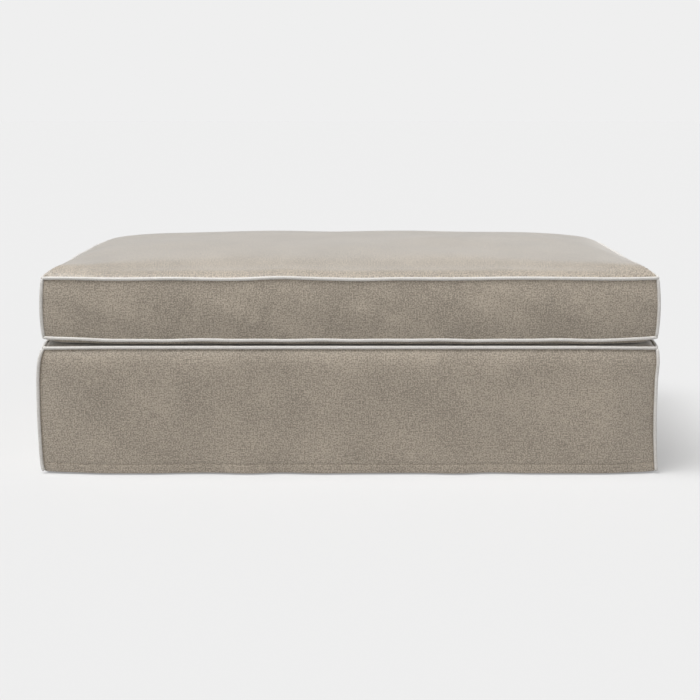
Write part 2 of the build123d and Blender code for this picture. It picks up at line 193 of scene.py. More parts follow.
# %% [markdown]
# The cover is a heathered linen weave. Its threads are too fine to see from across a room, but they break up the
# colour: each thread is a slightly different shade, with thicker slubs here and there. Two long, thin noise
# textures at right angles give the two sets of threads, a fine noise gives the heather, and a pair of waves gives
# the weave's relief. The coordinates are in metres along the cloth, so the weave is the same size everywhere.

# %% Make the cloth finishes
def start_material(name, roughness):
    """A new material with its nodes, its link function, its shader, and coordinates along the cloth."""
    material = bpy.data.materials.new(name)
    material.use_nodes = True
    nodes = material.node_tree.nodes
    shader = nodes["Principled BSDF"]
    shader.inputs["Roughness"].default_value = roughness
    place = nodes.new("ShaderNodeTexCoord")
    return material, nodes, material.node_tree.links.new, shader, place


def stretched(nodes, link, source, scale, turn=0):
    """The coordinates of a texture, scaled along each direction and turned in the cloth's plane."""
    mapping = nodes.new("ShaderNodeMapping")
    mapping.inputs["Scale"].default_value = scale
    mapping.inputs["Rotation"].default_value = (0, 0, math.radians(turn))
    link(source, mapping.inputs["Vector"])
    return mapping.outputs["Vector"]


def noise(nodes, link, source, scale, detail=2.0, turn=0):
    """Noise whose grain is 1 over scale metres in each direction."""
    texture = nodes.new("ShaderNodeTexNoise")
    texture.inputs["Scale"].default_value = 1
    texture.inputs["Detail"].default_value = detail
    link(stretched(nodes, link, source, scale, turn), texture.inputs["Vector"])
    return texture.outputs["Fac"]


def threads(nodes, link, source, direction, pitch, turn=0):
    """A wave that rises and falls once for each thread."""
    texture = nodes.new("ShaderNodeTexWave")
    texture.bands_direction = direction
    texture.inputs["Scale"].default_value = 2 * math.pi / (20 * pitch)
    texture.inputs["Distortion"].default_value = 0.6
    texture.inputs["Detail"].default_value = 1
    link(stretched(nodes, link, source, (1, 1, 1), turn), texture.inputs["Vector"])
    return texture.outputs["Fac"]


def sums(nodes, link, operation, first, second):
    """Arithmetic on two sockets, or on a socket and a number."""
    node = nodes.new("ShaderNodeMath")
    node.operation = operation
    for value, socket in ((first, node.inputs[0]), (second, node.inputs[1])):
        if isinstance(value, (int, float)):
            socket.default_value = value
        else:
            link(value, socket)
    return node.outputs[0]


def shades(nodes, link, share, stops):
    """Colours picked along a ramp."""
    ramp = nodes.new("ShaderNodeValToRGB")
    while len(ramp.color_ramp.elements) < len(stops):
        ramp.color_ramp.elements.new(0.5)
    for element, (position, colour) in zip(ramp.color_ramp.elements, stops):
        element.position = position
        element.color = (*colour, 1)
    link(share, ramp.inputs["Fac"])
    return ramp.outputs["Color"]


def bump(nodes, link, shader, height, strength, depth):
    """Relief on the shader's surface, depth metres from its valleys to its peaks."""
    node = nodes.new("ShaderNodeBump")
    node.inputs["Strength"].default_value = strength
    node.inputs["Distance"].default_value = depth
    link(height, node.inputs["Height"])
    link(node.outputs["Normal"], shader.inputs["Normal"])


def woven(name, dark, light, pitch=0.0011, turn=0, heather=0.5, relief=0.00035, sheen=0.12, gloss=0.3):
    """A plain weave with slubs and heather, between two colours. Its fuzz catches light seen along the cloth."""
    material, nodes, link, shader, place = start_material(name, 0.62)
    along = place.outputs["UV"]
    shader.inputs["Specular IOR Level"].default_value = gloss
    shader.inputs["Sheen Weight"].default_value = sheen
    shader.inputs["Sheen Tint"].default_value = (1, 0.98, 0.95, 1)
    shader.inputs["Coat Weight"].default_value = gloss
    shader.inputs["Coat Roughness"].default_value = 0.38
    shader.inputs["Sheen Roughness"].default_value = 0.6
    long_grain, short_grain = 45, 0.55 / pitch
    warp = noise(nodes, link, along, (short_grain, long_grain, 1), 2, turn)
    weft = noise(nodes, link, along, (long_grain, short_grain, 1), 2, turn)
    fleck = noise(nodes, link, along, (340, 340, 1), 2.5, turn)
    cloud = noise(nodes, link, along, (9, 9, 1), 2)
    share = sums(nodes, link, "ADD", warp, weft)
    share = sums(nodes, link, "MULTIPLY", share, (1 - heather) / 2)
    share = sums(nodes, link, "ADD", share, sums(nodes, link, "MULTIPLY", fleck, heather))
    share = sums(nodes, link, "ADD", share, sums(nodes, link, "MULTIPLY", cloud, 0.13))
    share = sums(nodes, link, "SUBTRACT", share, 0.065)
    middle = tuple((d + l) / 2 for d, l in zip(dark, light))
    colour = shades(nodes, link, share, [(0.42, dark), (0.5, middle), (0.58, light)])
    link(colour, shader.inputs["Base Color"])
    over = threads(nodes, link, along, "X", pitch, turn)
    under = threads(nodes, link, along, "Y", pitch, turn)
    weave = sums(nodes, link, "MAXIMUM", over, under)
    weave = sums(nodes, link, "ADD", weave, sums(nodes, link, "MULTIPLY", fleck, 1.2))
    weave = sums(nodes, link, "ADD", weave, share)
    bump(nodes, link, shader, weave, 0.3, relief)
    return material


cover_cloth = woven("cover_cloth", (0.170, 0.135, 0.093), (0.455, 0.380, 0.290), heather=0.62, sheen=0.85,
                    gloss=0.6)
piping_cloth = woven("piping_cloth", (0.61, 0.585, 0.545), (0.74, 0.72, 0.69), pitch=0.0009, turn=45, heather=0.3,
                     gloss=0.8)
stitch_thread = woven("stitch_thread", (0.20, 0.165, 0.125), (0.32, 0.27, 0.21), pitch=0.0005, turn=30)
webbing_cloth = woven("webbing_cloth", (0.34, 0.235, 0.13), (0.56, 0.42, 0.26), pitch=0.0022, heather=0.25)
dust_cloth = woven("dust_cloth", (0.012, 0.012, 0.013), (0.035, 0.035, 0.037), pitch=0.0007, heather=0.7)
tape_cloth = woven("zip_tape_cloth", (0.40, 0.37, 0.32), (0.50, 0.46, 0.41), pitch=0.0006, turn=45, heather=0.2)
print("cloths:", [m.name for m in bpy.data.materials if m.use_nodes and m.name.endswith("cloth")])

# %% [markdown]
# Foam and wadding aren't woven. Foam is full of small open cells, so its relief comes from a cell pattern, and
# wadding is a mat of loose fibres, which long, tangled noise gives.

# %% Make the fillings' finishes
def foam_finish():
    """Pale yellow foam with open cells, yellower where it has aged."""
    material, nodes, link, shader, place = start_material("foam_block", 0.95)
    cells = nodes.new("ShaderNodeTexVoronoi")
    cells.inputs["Scale"].default_value = 700
    link(place.outputs["Object"], cells.inputs["Vector"])
    age = noise(nodes, link, place.outputs["Object"], (6, 6, 6), 3)
    colour = shades(nodes, link, age, [(0.3, (0.80, 0.70, 0.44)), (0.7, (0.88, 0.82, 0.60))])
    link(colour, shader.inputs["Base Color"])
    bump(nodes, link, shader, cells.outputs["Distance"], 0.6, 0.0008)
    return material


def wadding_finish():
    """White fibre, tangled and a little uneven."""
    material, nodes, link, shader, place = start_material("fibre_mat", 0.98)
    long_fibres = noise(nodes, link, place.outputs["Object"], (60, 700, 260), 4)
    cross_fibres = noise(nodes, link, place.outputs["Object"], (520, 50, 300), 4)
    mat = sums(nodes, link, "ADD", long_fibres, cross_fibres)
    mat = sums(nodes, link, "MULTIPLY", mat, 0.5)
    colour = shades(nodes, link, mat, [(0.35, (0.74, 0.73, 0.70)), (0.6, (0.90, 0.89, 0.87))])
    link(colour, shader.inputs["Base Color"])
    shader.inputs["Sheen Weight"].default_value = 0.3
    bump(nodes, link, shader, mat, 0.8, 0.0015)
    return material


foam_block, fibre_mat = foam_finish(), wadding_finish()
print("fillings:", foam_block.name, fibre_mat.name)

# %% [markdown]
# The hard parts keep the frame's shapes, so their finishes use the object's own coordinates. Wood grain is noise
# stretched along the board, with darker bands for the summer wood. Each board names its own long direction.

# %% Make the hard finishes
def wood_finish(name, early, late, along, roughness=0.6):
    """Grain that runs along X, Y or Z, with rings, pores and a slight tint from board to board."""
    material, nodes, link, shader, place = start_material(name, roughness)
    squeeze = [38, 38, 38]
    squeeze[along] = 2.2
    fine = [420, 420, 420]
    fine[along] = 14
    rings = nodes.new("ShaderNodeTexWave")
    rings.wave_type = "RINGS"
    rings.rings_direction = "XYZ"[along]
    rings.inputs["Scale"].default_value = 0.55
    rings.inputs["Distortion"].default_value = 5
    rings.inputs["Detail"].default_value = 3
    link(stretched(nodes, link, place.outputs["Object"], squeeze), rings.inputs["Vector"])
    pores = noise(nodes, link, place.outputs["Object"], fine, 3)
    board = nodes.new("ShaderNodeObjectInfo")
    share = sums(nodes, link, "MULTIPLY", rings.outputs["Fac"], 0.6)
    share = sums(nodes, link, "ADD", share, sums(nodes, link, "MULTIPLY", pores, 0.35))
    share = sums(nodes, link, "ADD", share, sums(nodes, link, "MULTIPLY", board.outputs["Random"], 0.12))
    link(shades(nodes, link, share, [(0.2, early), (0.85, late)]), shader.inputs["Base Color"])
    rough = nodes.new("ShaderNodeMapRange")
    rough.inputs["To Min"].default_value = roughness - 0.1
    rough.inputs["To Max"].default_value = roughness + 0.15
    link(pores, rough.inputs["Value"])
    link(rough.outputs["Result"], shader.inputs["Roughness"])
    bump(nodes, link, shader, pores, 0.35, 0.0004)
    return material


def metal_finish(name, colour, roughness, grain):
    """Metal with a fine brushed or cast grain and duller patches where it has been handled."""
    material, nodes, link, shader, place = start_material(name, roughness)
    shader.inputs["Metallic"].default_value = 1
    brushed = noise(nodes, link, place.outputs["Object"], grain, 3)
    patches = noise(nodes, link, place.outputs["Object"], (90, 90, 90), 3)
    darker = tuple(c * 0.8 for c in colour)
    link(shades(nodes, link, patches, [(0.35, darker), (0.65, colour)]), shader.inputs["Base Color"])
    rough = nodes.new("ShaderNodeMapRange")
    rough.inputs["To Min"].default_value = roughness - 0.08
    rough.inputs["To Max"].default_value = roughness + 0.16
    link(patches, rough.inputs["Value"])
    link(rough.outputs["Result"], shader.inputs["Roughness"])
    bump(nodes, link, shader, brushed, 0.25, 0.00008)
    return material


def plastic_finish(name, dark, light, roughness):
    """Moulded plastic with a fine spark-eroded texture, paler where it is scuffed."""
    material, nodes, link, shader, place = start_material(name, roughness)
    texture = noise(nodes, link, place.outputs["Object"], (1500, 1500, 1500), 2)
    scuffs = noise(nodes, link, place.outputs["Object"], (60, 340, 120), 4)
    link(shades(nodes, link, scuffs, [(0.45, dark), (0.75, light)]), shader.inputs["Base Color"])
    bump(nodes, link, shader, texture, 0.3, 0.00006)
    return material


early_pine, late_pine = (0.66, 0.49, 0.30), (0.48, 0.30, 0.15)
pine = [wood_finish("pine_" + "xyz"[axis], early_pine, late_pine, axis) for axis in range(3)]
leg_wood = wood_finish("stained_leg_wood", (0.115, 0.058, 0.030), (0.055, 0.026, 0.014), 2, 0.42)
zinc = metal_finish("zinc_plated_steel", (0.62, 0.63, 0.64), 0.34, (300, 300, 40))
zip_metal = metal_finish("zip_metal", (0.52, 0.51, 0.49), 0.36, (60, 900, 900))
glide_plastic = plastic_finish("glide_plastic", (0.012, 0.012, 0.012), (0.05, 0.05, 0.05), 0.5)
coil_plastic = plastic_finish("zip_coil_plastic", (0.20, 0.18, 0.15), (0.29, 0.26, 0.22), 0.42)


def finish_node(name, material):
    """Gives a piece of the frame its material."""
    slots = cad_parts[name].material_slots
    if not len(slots):
        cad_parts[name].data.materials.append(material)
    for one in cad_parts[name].material_slots:
        one.material = material


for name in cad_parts:
    if name in ("front_rail", "back_rail"):
        finish_node(name, pine[0])
    elif name in ("left_rail", "right_rail", "centre_stretcher"):
        finish_node(name, pine[1])
    elif name.startswith("corner_block"):
        finish_node(name, pine[2])
    elif name.startswith("leg_bolts"):
        finish_node(name, zinc)
    elif name.startswith("leg_"):
        finish_node(name, leg_wood)
    elif name == "glides":
        finish_node(name, glide_plastic)
    elif name in ("zip_slider", "zip_pull"):
        finish_node(name, zip_metal)
print("finished:", sum(1 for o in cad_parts.values() if o.material_slots), "of", len(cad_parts), "nodes")

# %% [markdown]
# Every cloth panel is a net of points in rows. The same few helpers turn such a net into a mesh with coordinates
# along the cloth, run a tube along a line, and lay a small shape many times over. Points are kept in numpy arrays,
# so a whole panel can be bent with one formula.

# %% Turn nets into meshes
def unit(ways):
    """The same directions, each of length 1."""
    return ways / np.linalg.norm(ways, axis=1)[:, None]


def run_along(line):
    """The length from a line's start to each of its points."""
    return np.concatenate([[0], np.cumsum(np.linalg.norm(np.diff(line, axis=0), axis=1))])


def ladder_faces(rungs):
    """The quads between closed rings of points, each ring given by its points' numbers."""
    faces = []
    for low, high in zip(rungs[:-1], rungs[1:]):
        faces += [list(f) for f in np.stack([low, np.roll(low, -1), np.roll(high, -1), high], axis=1)]
    return faces


def add_mesh(name, points, faces, uvs, material):
    """A smooth mesh object at the origin, from points, faces and one coordinate for each face corner."""
    mesh = bpy.data.meshes.new(name)
    mesh.from_pydata([tuple(map(float, p)) for p in points], [], [tuple(map(int, f)) for f in faces])
    layer = mesh.uv_layers.new(name="along_the_cloth")
    layer.data.foreach_set("uv", np.asarray(uvs, dtype=np.float32).reshape(-1))
    mesh.polygons.foreach_set("use_smooth", [True] * len(mesh.polygons))
    mesh.materials.append(material)
    mesh.update()
    piece = bpy.data.objects.new(name, mesh)
    bpy.context.scene.collection.objects.link(piece)
    return piece


def net_faces(rows, columns, closed=False, looped=False):
    """The quads of a net, as indices into its points in reading order. Its rows can close, and its columns too."""
    row, column = np.meshgrid(np.arange(rows - 1 + looped), np.arange(columns - 1 + closed), indexing="ij")
    after, beside = (row + 1) % rows, (column + 1) % columns
    corners = ((row, column), (row, beside), (after, beside), (after, column))
    return np.stack([(r * columns + c).ravel() for r, c in corners], axis=1)


def add_net(name, net, uv, material, closed=False, looped=False, flip=False, extra_faces=(), extra_uvs=()):
    """A net of points, rows by columns by 3, as a mesh. Where it closes, uv has one row or column more than it."""
    faces = net_faces(*net.shape[:2], closed, looped)
    uvs = uv.reshape(-1, 2)[net_faces(*uv.shape[:2])]
    if flip:
        faces, uvs = faces[:, ::-1], uvs[:, ::-1]
    faces = [list(f) for f in faces] + [list(f) for f in extra_faces]
    uvs = np.concatenate([uvs.reshape(-1, 2), np.asarray(extra_uvs, dtype=float).reshape(-1, 2)])
    return add_mesh(name, net.reshape(-1, 3), faces, uvs, material)


def refine(piece):
    """Smooths a piece with one level of subdivision."""
    modifier = piece.modifiers.new("smooth", "SUBSURF")
    modifier.levels = modifier.render_levels = 1


def thicken(piece, depth):
    """Gives cloth its thickness, inwards from the side that shows."""
    modifier = piece.modifiers.new("thickness", "SOLIDIFY")
    modifier.thickness = depth
    modifier.offset = -1


def tube(name, line, radius, material, closed=False, sides=12):
    """A round cord along a line of points, with a slight unevenness like a sewn cord's."""
    line = np.asarray(line, dtype=float)
    if closed:
        ahead, behind = np.roll(line, -1, axis=0), np.roll(line, 1, axis=0)
    else:
        ahead = np.vstack([line[1:], 2 * line[-1] - line[-2]])
        behind = np.vstack([2 * line[0] - line[1], line[:-1]])
    way = unit(ahead - behind)
    up = np.array([0.0, 0.0, 1.0]) if abs(way[:, 2]).max() < 0.8 else np.array([1.0, 1.0, 0.0]) / math.sqrt(2)
    side = unit(np.cross(way, up))
    over = np.cross(side, way)
    length = run_along(line)
    turn = np.linspace(0, 2 * math.pi, sides, endpoint=False)
    swell = 1 + 0.035 * np.sin(length * 210) * np.sin(length * 47 + 1)
    ring = side[:, None] * np.cos(turn)[None, :, None] + over[:, None] * np.sin(turn)[None, :, None]
    net = line[:, None] + radius * swell[:, None, None] * ring
    if closed:
        length = np.append(length, length[-1] + np.linalg.norm(line[0] - line[-1]))
    u, v = np.meshgrid(length, np.append(turn, 2 * math.pi) * radius, indexing="ij")
    caps, cap_uvs = [], []
    if not closed:
        last = (len(net) - 1) * sides
        caps = [list(range(sides)), [last + i for i in reversed(range(sides))]]
        cap_uvs = [[0.0, 0.0]] * (2 * sides)
    return add_net(name, net, np.stack([u, v], axis=-1), material, True, closed, True, caps, cap_uvs)


def scatter(name, shape_points, shape_faces, places, frames, material):
    """Copies of one small shape, each at its place and turned by its frame, in a single mesh."""
    points = np.asarray(shape_points, dtype=float)
    copies = np.einsum("nij,pj->npi", np.asarray(frames), points) + np.asarray(places)[:, None]
    step = len(points) * np.arange(len(places))
    faces = [[i + s for i in face] for s in step for face in shape_faces]
    uvs = copies[:, sum(shape_faces, [])][:, :, :2].reshape(-1, 2)
    return add_mesh(name, copies.reshape(-1, 3), faces, uvs, material)


def ripple(seed, count, low, high):
    """A smooth wavy function of a length in metres, made of a few seeded sines."""
    random = np.random.default_rng(seed)
    waves = random.uniform(2 * math.pi / high, 2 * math.pi / low, count)
    phases = random.uniform(0, 2 * math.pi, count)
    weights = random.uniform(0.4, 1, count)
    weights /= np.sqrt((weights**2).sum() / 2)
    return lambda s: sum(w * np.sin(k * s + p) for w, k, p in zip(weights, waves, phases))


def surface_ripple(seed, count, low, high):
    """A smooth wavy function of a place on the cloth, whose waves run in all directions."""
    random = np.random.default_rng(seed)
    sizes = 2 * math.pi / random.uniform(low, high, count)
    ways = random.uniform(0, math.pi, count)
    phases = random.uniform(0, 2 * math.pi, count)
    scale = math.sqrt(2 / count)
    return lambda a, b: scale * sum(
        np.sin(k * (a * math.cos(w) + b * math.sin(w)) + p) for k, w, p in zip(sizes, ways, phases)
    )


print("a wave of seed 11 after 0.1 m:", round(float(ripple(11, 5, 0.15, 0.6)(0.1)), 2))

# %% [markdown]
# Sewn covers aren't true rectangles. The seams run straight in the middle of each side and pull in towards the
# corners, where the thick seam allowances meet. All the cloth uses this one outline, grown or shrunk.

# %% The outline of the seams
corner_run = 0.110
seam_draw_in = 0.0065
boxing_draw_in = 0.0075
boxing_bulge = 0.008


def pulled(place, half):
    """How far into a corner a place along a side is: 0 until the side starts to curve in, 1 at the corner."""
    return np.clip((np.abs(place) - (half - corner_run)) / corner_run, 0, 1)


def in_plan(u, v, half, grow, draw_in):
    """Places inside the outline, from shares of its half length and half depth."""
    half_x, half_y = half[0] + grow, half[1] + grow
    x = u * (half_x - draw_in * pulled(v * half_y, half_y) ** 2)
    y = v * (half_y - draw_in * pulled(u * half_x, half_x) ** 2)
    return x, y


def graded(count, edge_share=0.42):
    """Shares from -1 to 1 that lie closer together towards both ends."""
    t = np.linspace(-1, 1, count + 1)
    return np.round(edge_share * t + (1 - edge_share) * np.sin(t * math.pi / 2), 9)


def loop_shares(across, along):
    """Shares round the outline, from the front left corner towards the right."""
    front = [(u, -1) for u in across[:-1]]
    right = [(1, v) for v in along[:-1]]
    back = [(u, 1) for u in across[:0:-1]]
    left = [(-1, v) for v in along[:0:-1]]
    return np.array(front + right + back + left)


columns_across, rows_deep = 200, 120
across, along = graded(columns_across), graded(rows_deep)
loop = loop_shares(across, along)
loop_closed = np.vstack([loop, loop[:1]])
print("points round the cushion:", len(loop))

# %% [markdown]
# The cushion starts as one closed form, a little slack: a crowned top, swelling sides and a flat underside. The
# top rises in three parts that are added together: a roll beside the piping, full along the front and slight at
# the back, a round shoulder, and the slow crown of a foam core under fibre. The two seams are a little wavy, as hand-guided piping is.

# %% Shape the cushion's cover
slack = 0.007
edge_rise, front_roll, back_roll = 0.0160, 0.0190, 0.0065
roll_reach, roll_fullness, shoulder_reach = 0.030, 0.6, 0.150
crown_reach = 0.390
crown_rise = crown_top - top_seam - edge_rise
underside_reach = 0.070
underside_roll, underside_roll_reach, underside_end_reach = 0.0088, 0.007, 0.045
seam_lift, seam_lift_run = 0.005, 0.160
top_wave_height, bottom_wave_height = 0.0006, 0.0005
deck_clearance = 0.0006
front_dips = ((-0.143, 0.0022, 0.055), (0.025, -0.0024, 0.060), (0.330, 0.0014, 0.070), (-0.420, -0.0012, 0.080))
top_wave = ripple(11, 5, 0.15, 0.6)
bottom_wave = ripple(12, 5, 0.12, 0.5)


def round_length(u, v, half):
    """The length from the front left corner to a place on the outline, going right."""
    x, y = u * half[0], v * half[1]
    whole_x, whole_y = 2 * half[0], 2 * half[1]
    front, right = (v <= -1), (u >= 1)
    back = (v >= 1) & ~right
    s = np.where(front, x + half[0], 0)
    s = np.where(right & ~front, whole_x + y + half[1], s)
    s = np.where(back, whole_x + whole_y + half[0] - x, s)
    return np.where(~front & ~right & ~back, 2 * whole_x + whole_y + half[1] - y, s)


def top_seam_height(u, v):
    """The top seam's height, with the waves that its front shows."""
    x = u * cushion_x
    height = top_seam + top_wave_height * top_wave(round_length(u, v, cushion_half))
    near_front = np.clip((-v - 0.9) / 0.1, 0, 1)
    for place, rise, spread in front_dips:
        height = height + near_front * rise * np.exp(-(((x - place) / spread) ** 2))
    return height


def bottom_seam_height(u, v):
    """The bottom seam's height: it lifts towards the corners, where the cushion is firmest."""
    lift = np.clip((np.abs(u) * cushion_x - (cushion_x - seam_lift_run)) / seam_lift_run, 0, 1) ** 2
    lift = lift * np.clip((np.abs(v) * cushion_y - (cushion_y - seam_lift_run)) / seam_lift_run, 0, 1) ** 2
    return bottom_seam + seam_lift * lift + bottom_wave_height * bottom_wave(round_length(u, v, cushion_half))


def rise_share(distance, reach, power=2):
    """0 at the seam, 1 from reach inwards, along a curve that flattens out: a parabola, or a higher power."""
    return 1 - (1 - np.clip(distance / reach, 0, 1)) ** power


def both(one, other):
    """The smaller of two shares, with the crease between them rounded off."""
    one, other = np.maximum(one, 1e-6), np.maximum(other, 1e-6)
    return 1 / np.sqrt(1 / one**2 + 1 / other**2 - 1)


def crowned_top(u, v, seam_height, lowered=0.0):
    """The top panel's points."""
    x, y = in_plan(u, v, cushion_half, 0, seam_draw_in)
    off_x, off_y = (1 - np.abs(u)) * cushion_x, (1 - np.abs(v)) * cushion_y
    plump = (1 - v) / 2
    roll = back_roll + (front_roll - back_roll) * plump
    fullness = 1 - (1 - roll_fullness) * plump
    rise = roll * both(rise_share(off_x, roll_reach, 3), rise_share(off_y, roll_reach, 3)) ** fullness
    rise = rise + (edge_rise - roll) * rise_share(off_x, shoulder_reach, 3) * rise_share(off_y, shoulder_reach, 3)
    crown = crown_rise - lowered
    rise = rise + crown * rise_share(off_x, crown_reach) * rise_share(off_y, crown_reach)
    return np.stack([x, y, seam_height + rise], axis=-1)


def pressed_bottom(u, v, seam_height):
    """The bottom panel's points: rolled under from the seam, then down to the deck, and flat on it."""
    x, y = in_plan(u, v, cushion_half, 0, seam_draw_in)
    off_x, off_y = (1 - np.abs(u)) * cushion_x, (1 - np.abs(v)) * cushion_y
    fall = seam_height - (deck_top + deck_clearance)
    rolled = rise_share(off_x, underside_end_reach) * rise_share(off_y, underside_roll_reach)
    settled = rise_share(np.minimum(off_x, off_y), underside_reach)
    return np.stack([x, y, seam_height - underside_roll * rolled - (fall - underside_roll) * settled], axis=-1)


def boxing_row(share, u, v):
    """One row of the boxing, from share 0 at the bottom seam to 1 at the top."""
    swell = 1 - (2 * share - 1) ** 2
    draw_in = seam_draw_in + (boxing_draw_in - seam_draw_in) * swell
    x, y = in_plan(u, v, cushion_half, (boxing_bulge - slack / 2) * swell, draw_in)
    low, high = bottom_seam_height(u, v), top_seam_height(u, v)
    return np.stack([x, y, low + share * (high - low)], axis=-1)

print(f"the top rises {1000 * edge_rise:.0f} mm at its edge and {1000 * crown_rise:.1f} mm more to its crown")

# %% [markdown]
# The shapes are worked out on a net. Each inner point borrows its seam height from the place on the edge that it
# faces, and the seam's waves fade quickly inwards, so that they stay beside the piping.

# %% Lay out the cushion's net
net_u, net_v = np.meshgrid(across, along)
inward_share = np.maximum(np.abs(net_u), np.abs(net_v))
edge_u = np.where(np.abs(net_u) >= np.abs(net_v), np.sign(net_u), net_u / np.maximum(inward_share, 1e-6))
edge_v = np.where(np.abs(net_v) > np.abs(net_u), np.sign(net_v), net_v / np.maximum(inward_share, 1e-6))
seam_pull = inward_share**6
top_base = top_seam + (top_seam_height(edge_u, edge_v) - top_seam) * seam_pull
bottom_base = bottom_seam + (bottom_seam_height(edge_u, edge_v) - bottom_seam) * seam_pull
top_net = crowned_top(net_u, net_v, top_base, slack)
bottom_net = pressed_bottom(net_u, net_v, bottom_base)
boxing_rows = 15
boxing_net = np.stack([boxing_row(share, loop[:, 0], loop[:, 1]) for share in np.linspace(0, 1, boxing_rows)])
print("cushion net:", top_net.shape, boxing_net.shape, f"crown {top_net[..., 2].max():.4f} m before it fills")

# %% [markdown]
# Filling the cover is what makes it look stuffed. Cloth is sewn at its seams, so those points are pinned, and a
# gentle pressure pushes the rest out for twenty frames. Each point's movement eases off towards a few
# millimetres, the slack that was left, because a hard stop would leave a crease. The simulation runs on every second point, because the swell is smooth, and the points
# between take the mean of their neighbours.

# %% Fill the cover with air
fill_cap = slack


def border(rows, columns):
    """The points round a net's border, from its front left corner towards the right."""
    grid = np.arange(rows * columns).reshape(rows, columns)
    return np.concatenate([grid[0, :-1], grid[:-1, -1], grid[-1, :0:-1], grid[:0:-1, 0]])


def between(coarse, closed=False):
    """Twice as many rows of points, each new one halfway between two old ones."""
    after = np.roll(coarse, -1, axis=0) if closed else coarse[1:]
    count = len(coarse) * 2 if closed else len(coarse) * 2 - 1
    fine = np.empty((count, *coarse.shape[1:]))
    fine[::2] = coarse
    fine[1::2] = (coarse[: len(after)] + after) / 2
    return fine


def blow_up(top, boxing):
    """How far each point of a coarse top and boxing moves when the cover is filled."""
    rows, columns = top.shape[:2]
    around = boxing.shape[1]
    sides_only = boxing[:-1]
    points = np.concatenate([top.reshape(-1, 3), sides_only.reshape(-1, 3)])
    first_side = rows * columns
    rim = border(rows, columns)
    faces = [list(f) for f in net_faces(rows, columns)]
    ladder = [first_side + row * around + np.arange(around) for row in range(len(sides_only))] + [rim]
    faces += ladder_faces(ladder)
    mesh = bpy.data.meshes.new("filling_trial")
    mesh.from_pydata(points.tolist(), [], [[int(i) for i in f] for f in faces])
    trial = bpy.data.objects.new("filling_trial", mesh)
    bpy.context.scene.collection.objects.link(trial)
    sewn = trial.vertex_groups.new(name="sewn")
    sewn.add([int(i) for i in np.concatenate([rim, ladder[0]])], 1.0, "REPLACE")
    modifier = trial.modifiers.new("cloth", "CLOTH")
    settings = modifier.settings
    settings.quality = 5
    settings.mass = 0.3
    settings.tension_stiffness = settings.compression_stiffness = 8
    settings.shear_stiffness = 4
    settings.bending_stiffness = 0.4
    settings.vertex_group_mass = "sewn"
    settings.shrink_min = -0.004
    settings.use_pressure = True
    settings.uniform_pressure_force = 4
    settings.effector_weights.gravity = 0
    modifier.point_cache.frame_start = 1
    modifier.point_cache.frame_end = 20
    for frame_number in range(1, 21):
        bpy.context.scene.frame_set(frame_number)
    filled = trial.evaluated_get(bpy.context.evaluated_depsgraph_get()).to_mesh()
    moved = np.empty(len(points) * 3)
    filled.vertices.foreach_get("co", moved)
    moved = moved.reshape(-1, 3) - points
    bpy.data.objects.remove(trial)
    bpy.context.scene.frame_set(1)
    distance = np.linalg.norm(moved, axis=1)
    print(f"free movement up to {1000 * distance.max():.1f} mm, median {1000 * np.median(distance):.1f} mm")
    held = fill_cap * np.tanh(distance / fill_cap)
    moved *= (held / np.maximum(distance, 1e-9))[:, None]
    on_top = moved[:first_side].reshape(top.shape)
    on_sides = moved[first_side:].reshape(sides_only.shape)
    return on_top, np.concatenate([on_sides, np.zeros((1, around, 3))])


top_move, boxing_move = blow_up(top_net[::2, ::2], boxing_net[::2, ::2])
top_net += np.swapaxes(between(np.swapaxes(between(top_move), 0, 1)), 0, 1)
boxing_net += np.swapaxes(between(np.swapaxes(between(boxing_move), 0, 1), True), 0, 1)
print(f"the crown now stands at {top_net[..., 2].max():.4f} m")

# %% [markdown]
# Where thick cord is sewn between two panels, the cloth puckers a little: small ripples run out from the seam and
# fade within a finger's width. They are laid on after the filling, with the broad, faint unevenness of a cushion
# that has been sat on and plumped up again.

# %% Add puckers to the cover
pucker_height, pucker_reach = 0.0004, 0.022
wander_height, side_wander_height = 0.0011, 0.0005
top_puckers = ripple(21, 9, 0.024, 0.060)
low_puckers = ripple(22, 9, 0.024, 0.060)
top_wander = surface_ripple(23, 12, 0.16, 0.45)
side_wander = ripple(24, 7, 0.12, 0.5)


def pucker(share_in):
    """Strength of the puckers at a distance from the seam: none on it, most just beside it."""
    near = np.clip(share_in / 0.15, 0, 1)
    return near * np.exp(-share_in * 2.2)


edge_length = round_length(edge_u, edge_v, cushion_half)
off_seam = np.minimum((1 - np.abs(net_u)) * cushion_x, (1 - np.abs(net_v)) * cushion_y)
top_net[..., 2] += pucker_height * top_puckers(edge_length) * pucker(off_seam / pucker_reach)
top_net[..., 2] += wander_height * top_wander(net_u * cushion_x, net_v * cushion_y) * rise_share(off_seam, 0.25)
side_share = np.linspace(0, 1, boxing_rows)[:, None]
side_length = round_length(loop[:, 0], loop[:, 1], cushion_half)[None]
side_height = top_seam - bottom_seam
side_out = unit(np.trunc(loop))
side_depth = pucker_height * top_puckers(side_length) * pucker((1 - side_share) * side_height / pucker_reach)
side_depth = side_depth + pucker_height * low_puckers(side_length) * pucker(side_share * side_height / pucker_reach)
swell = 1 - (2 * side_share - 1) ** 2
side_depth = side_depth + side_wander_height * side_wander(side_length + 0.35 * side_share) * swell
boxing_net[..., :2] += side_depth[..., None] * side_out[None]
print(f"puckers and waves move the sides by up to {1000 * np.abs(side_depth).max():.2f} mm")

# %% [markdown]
# A zip is stiffer than the cloth around it, so the back of the boxing is level along it and only swells again
# beyond its ends.

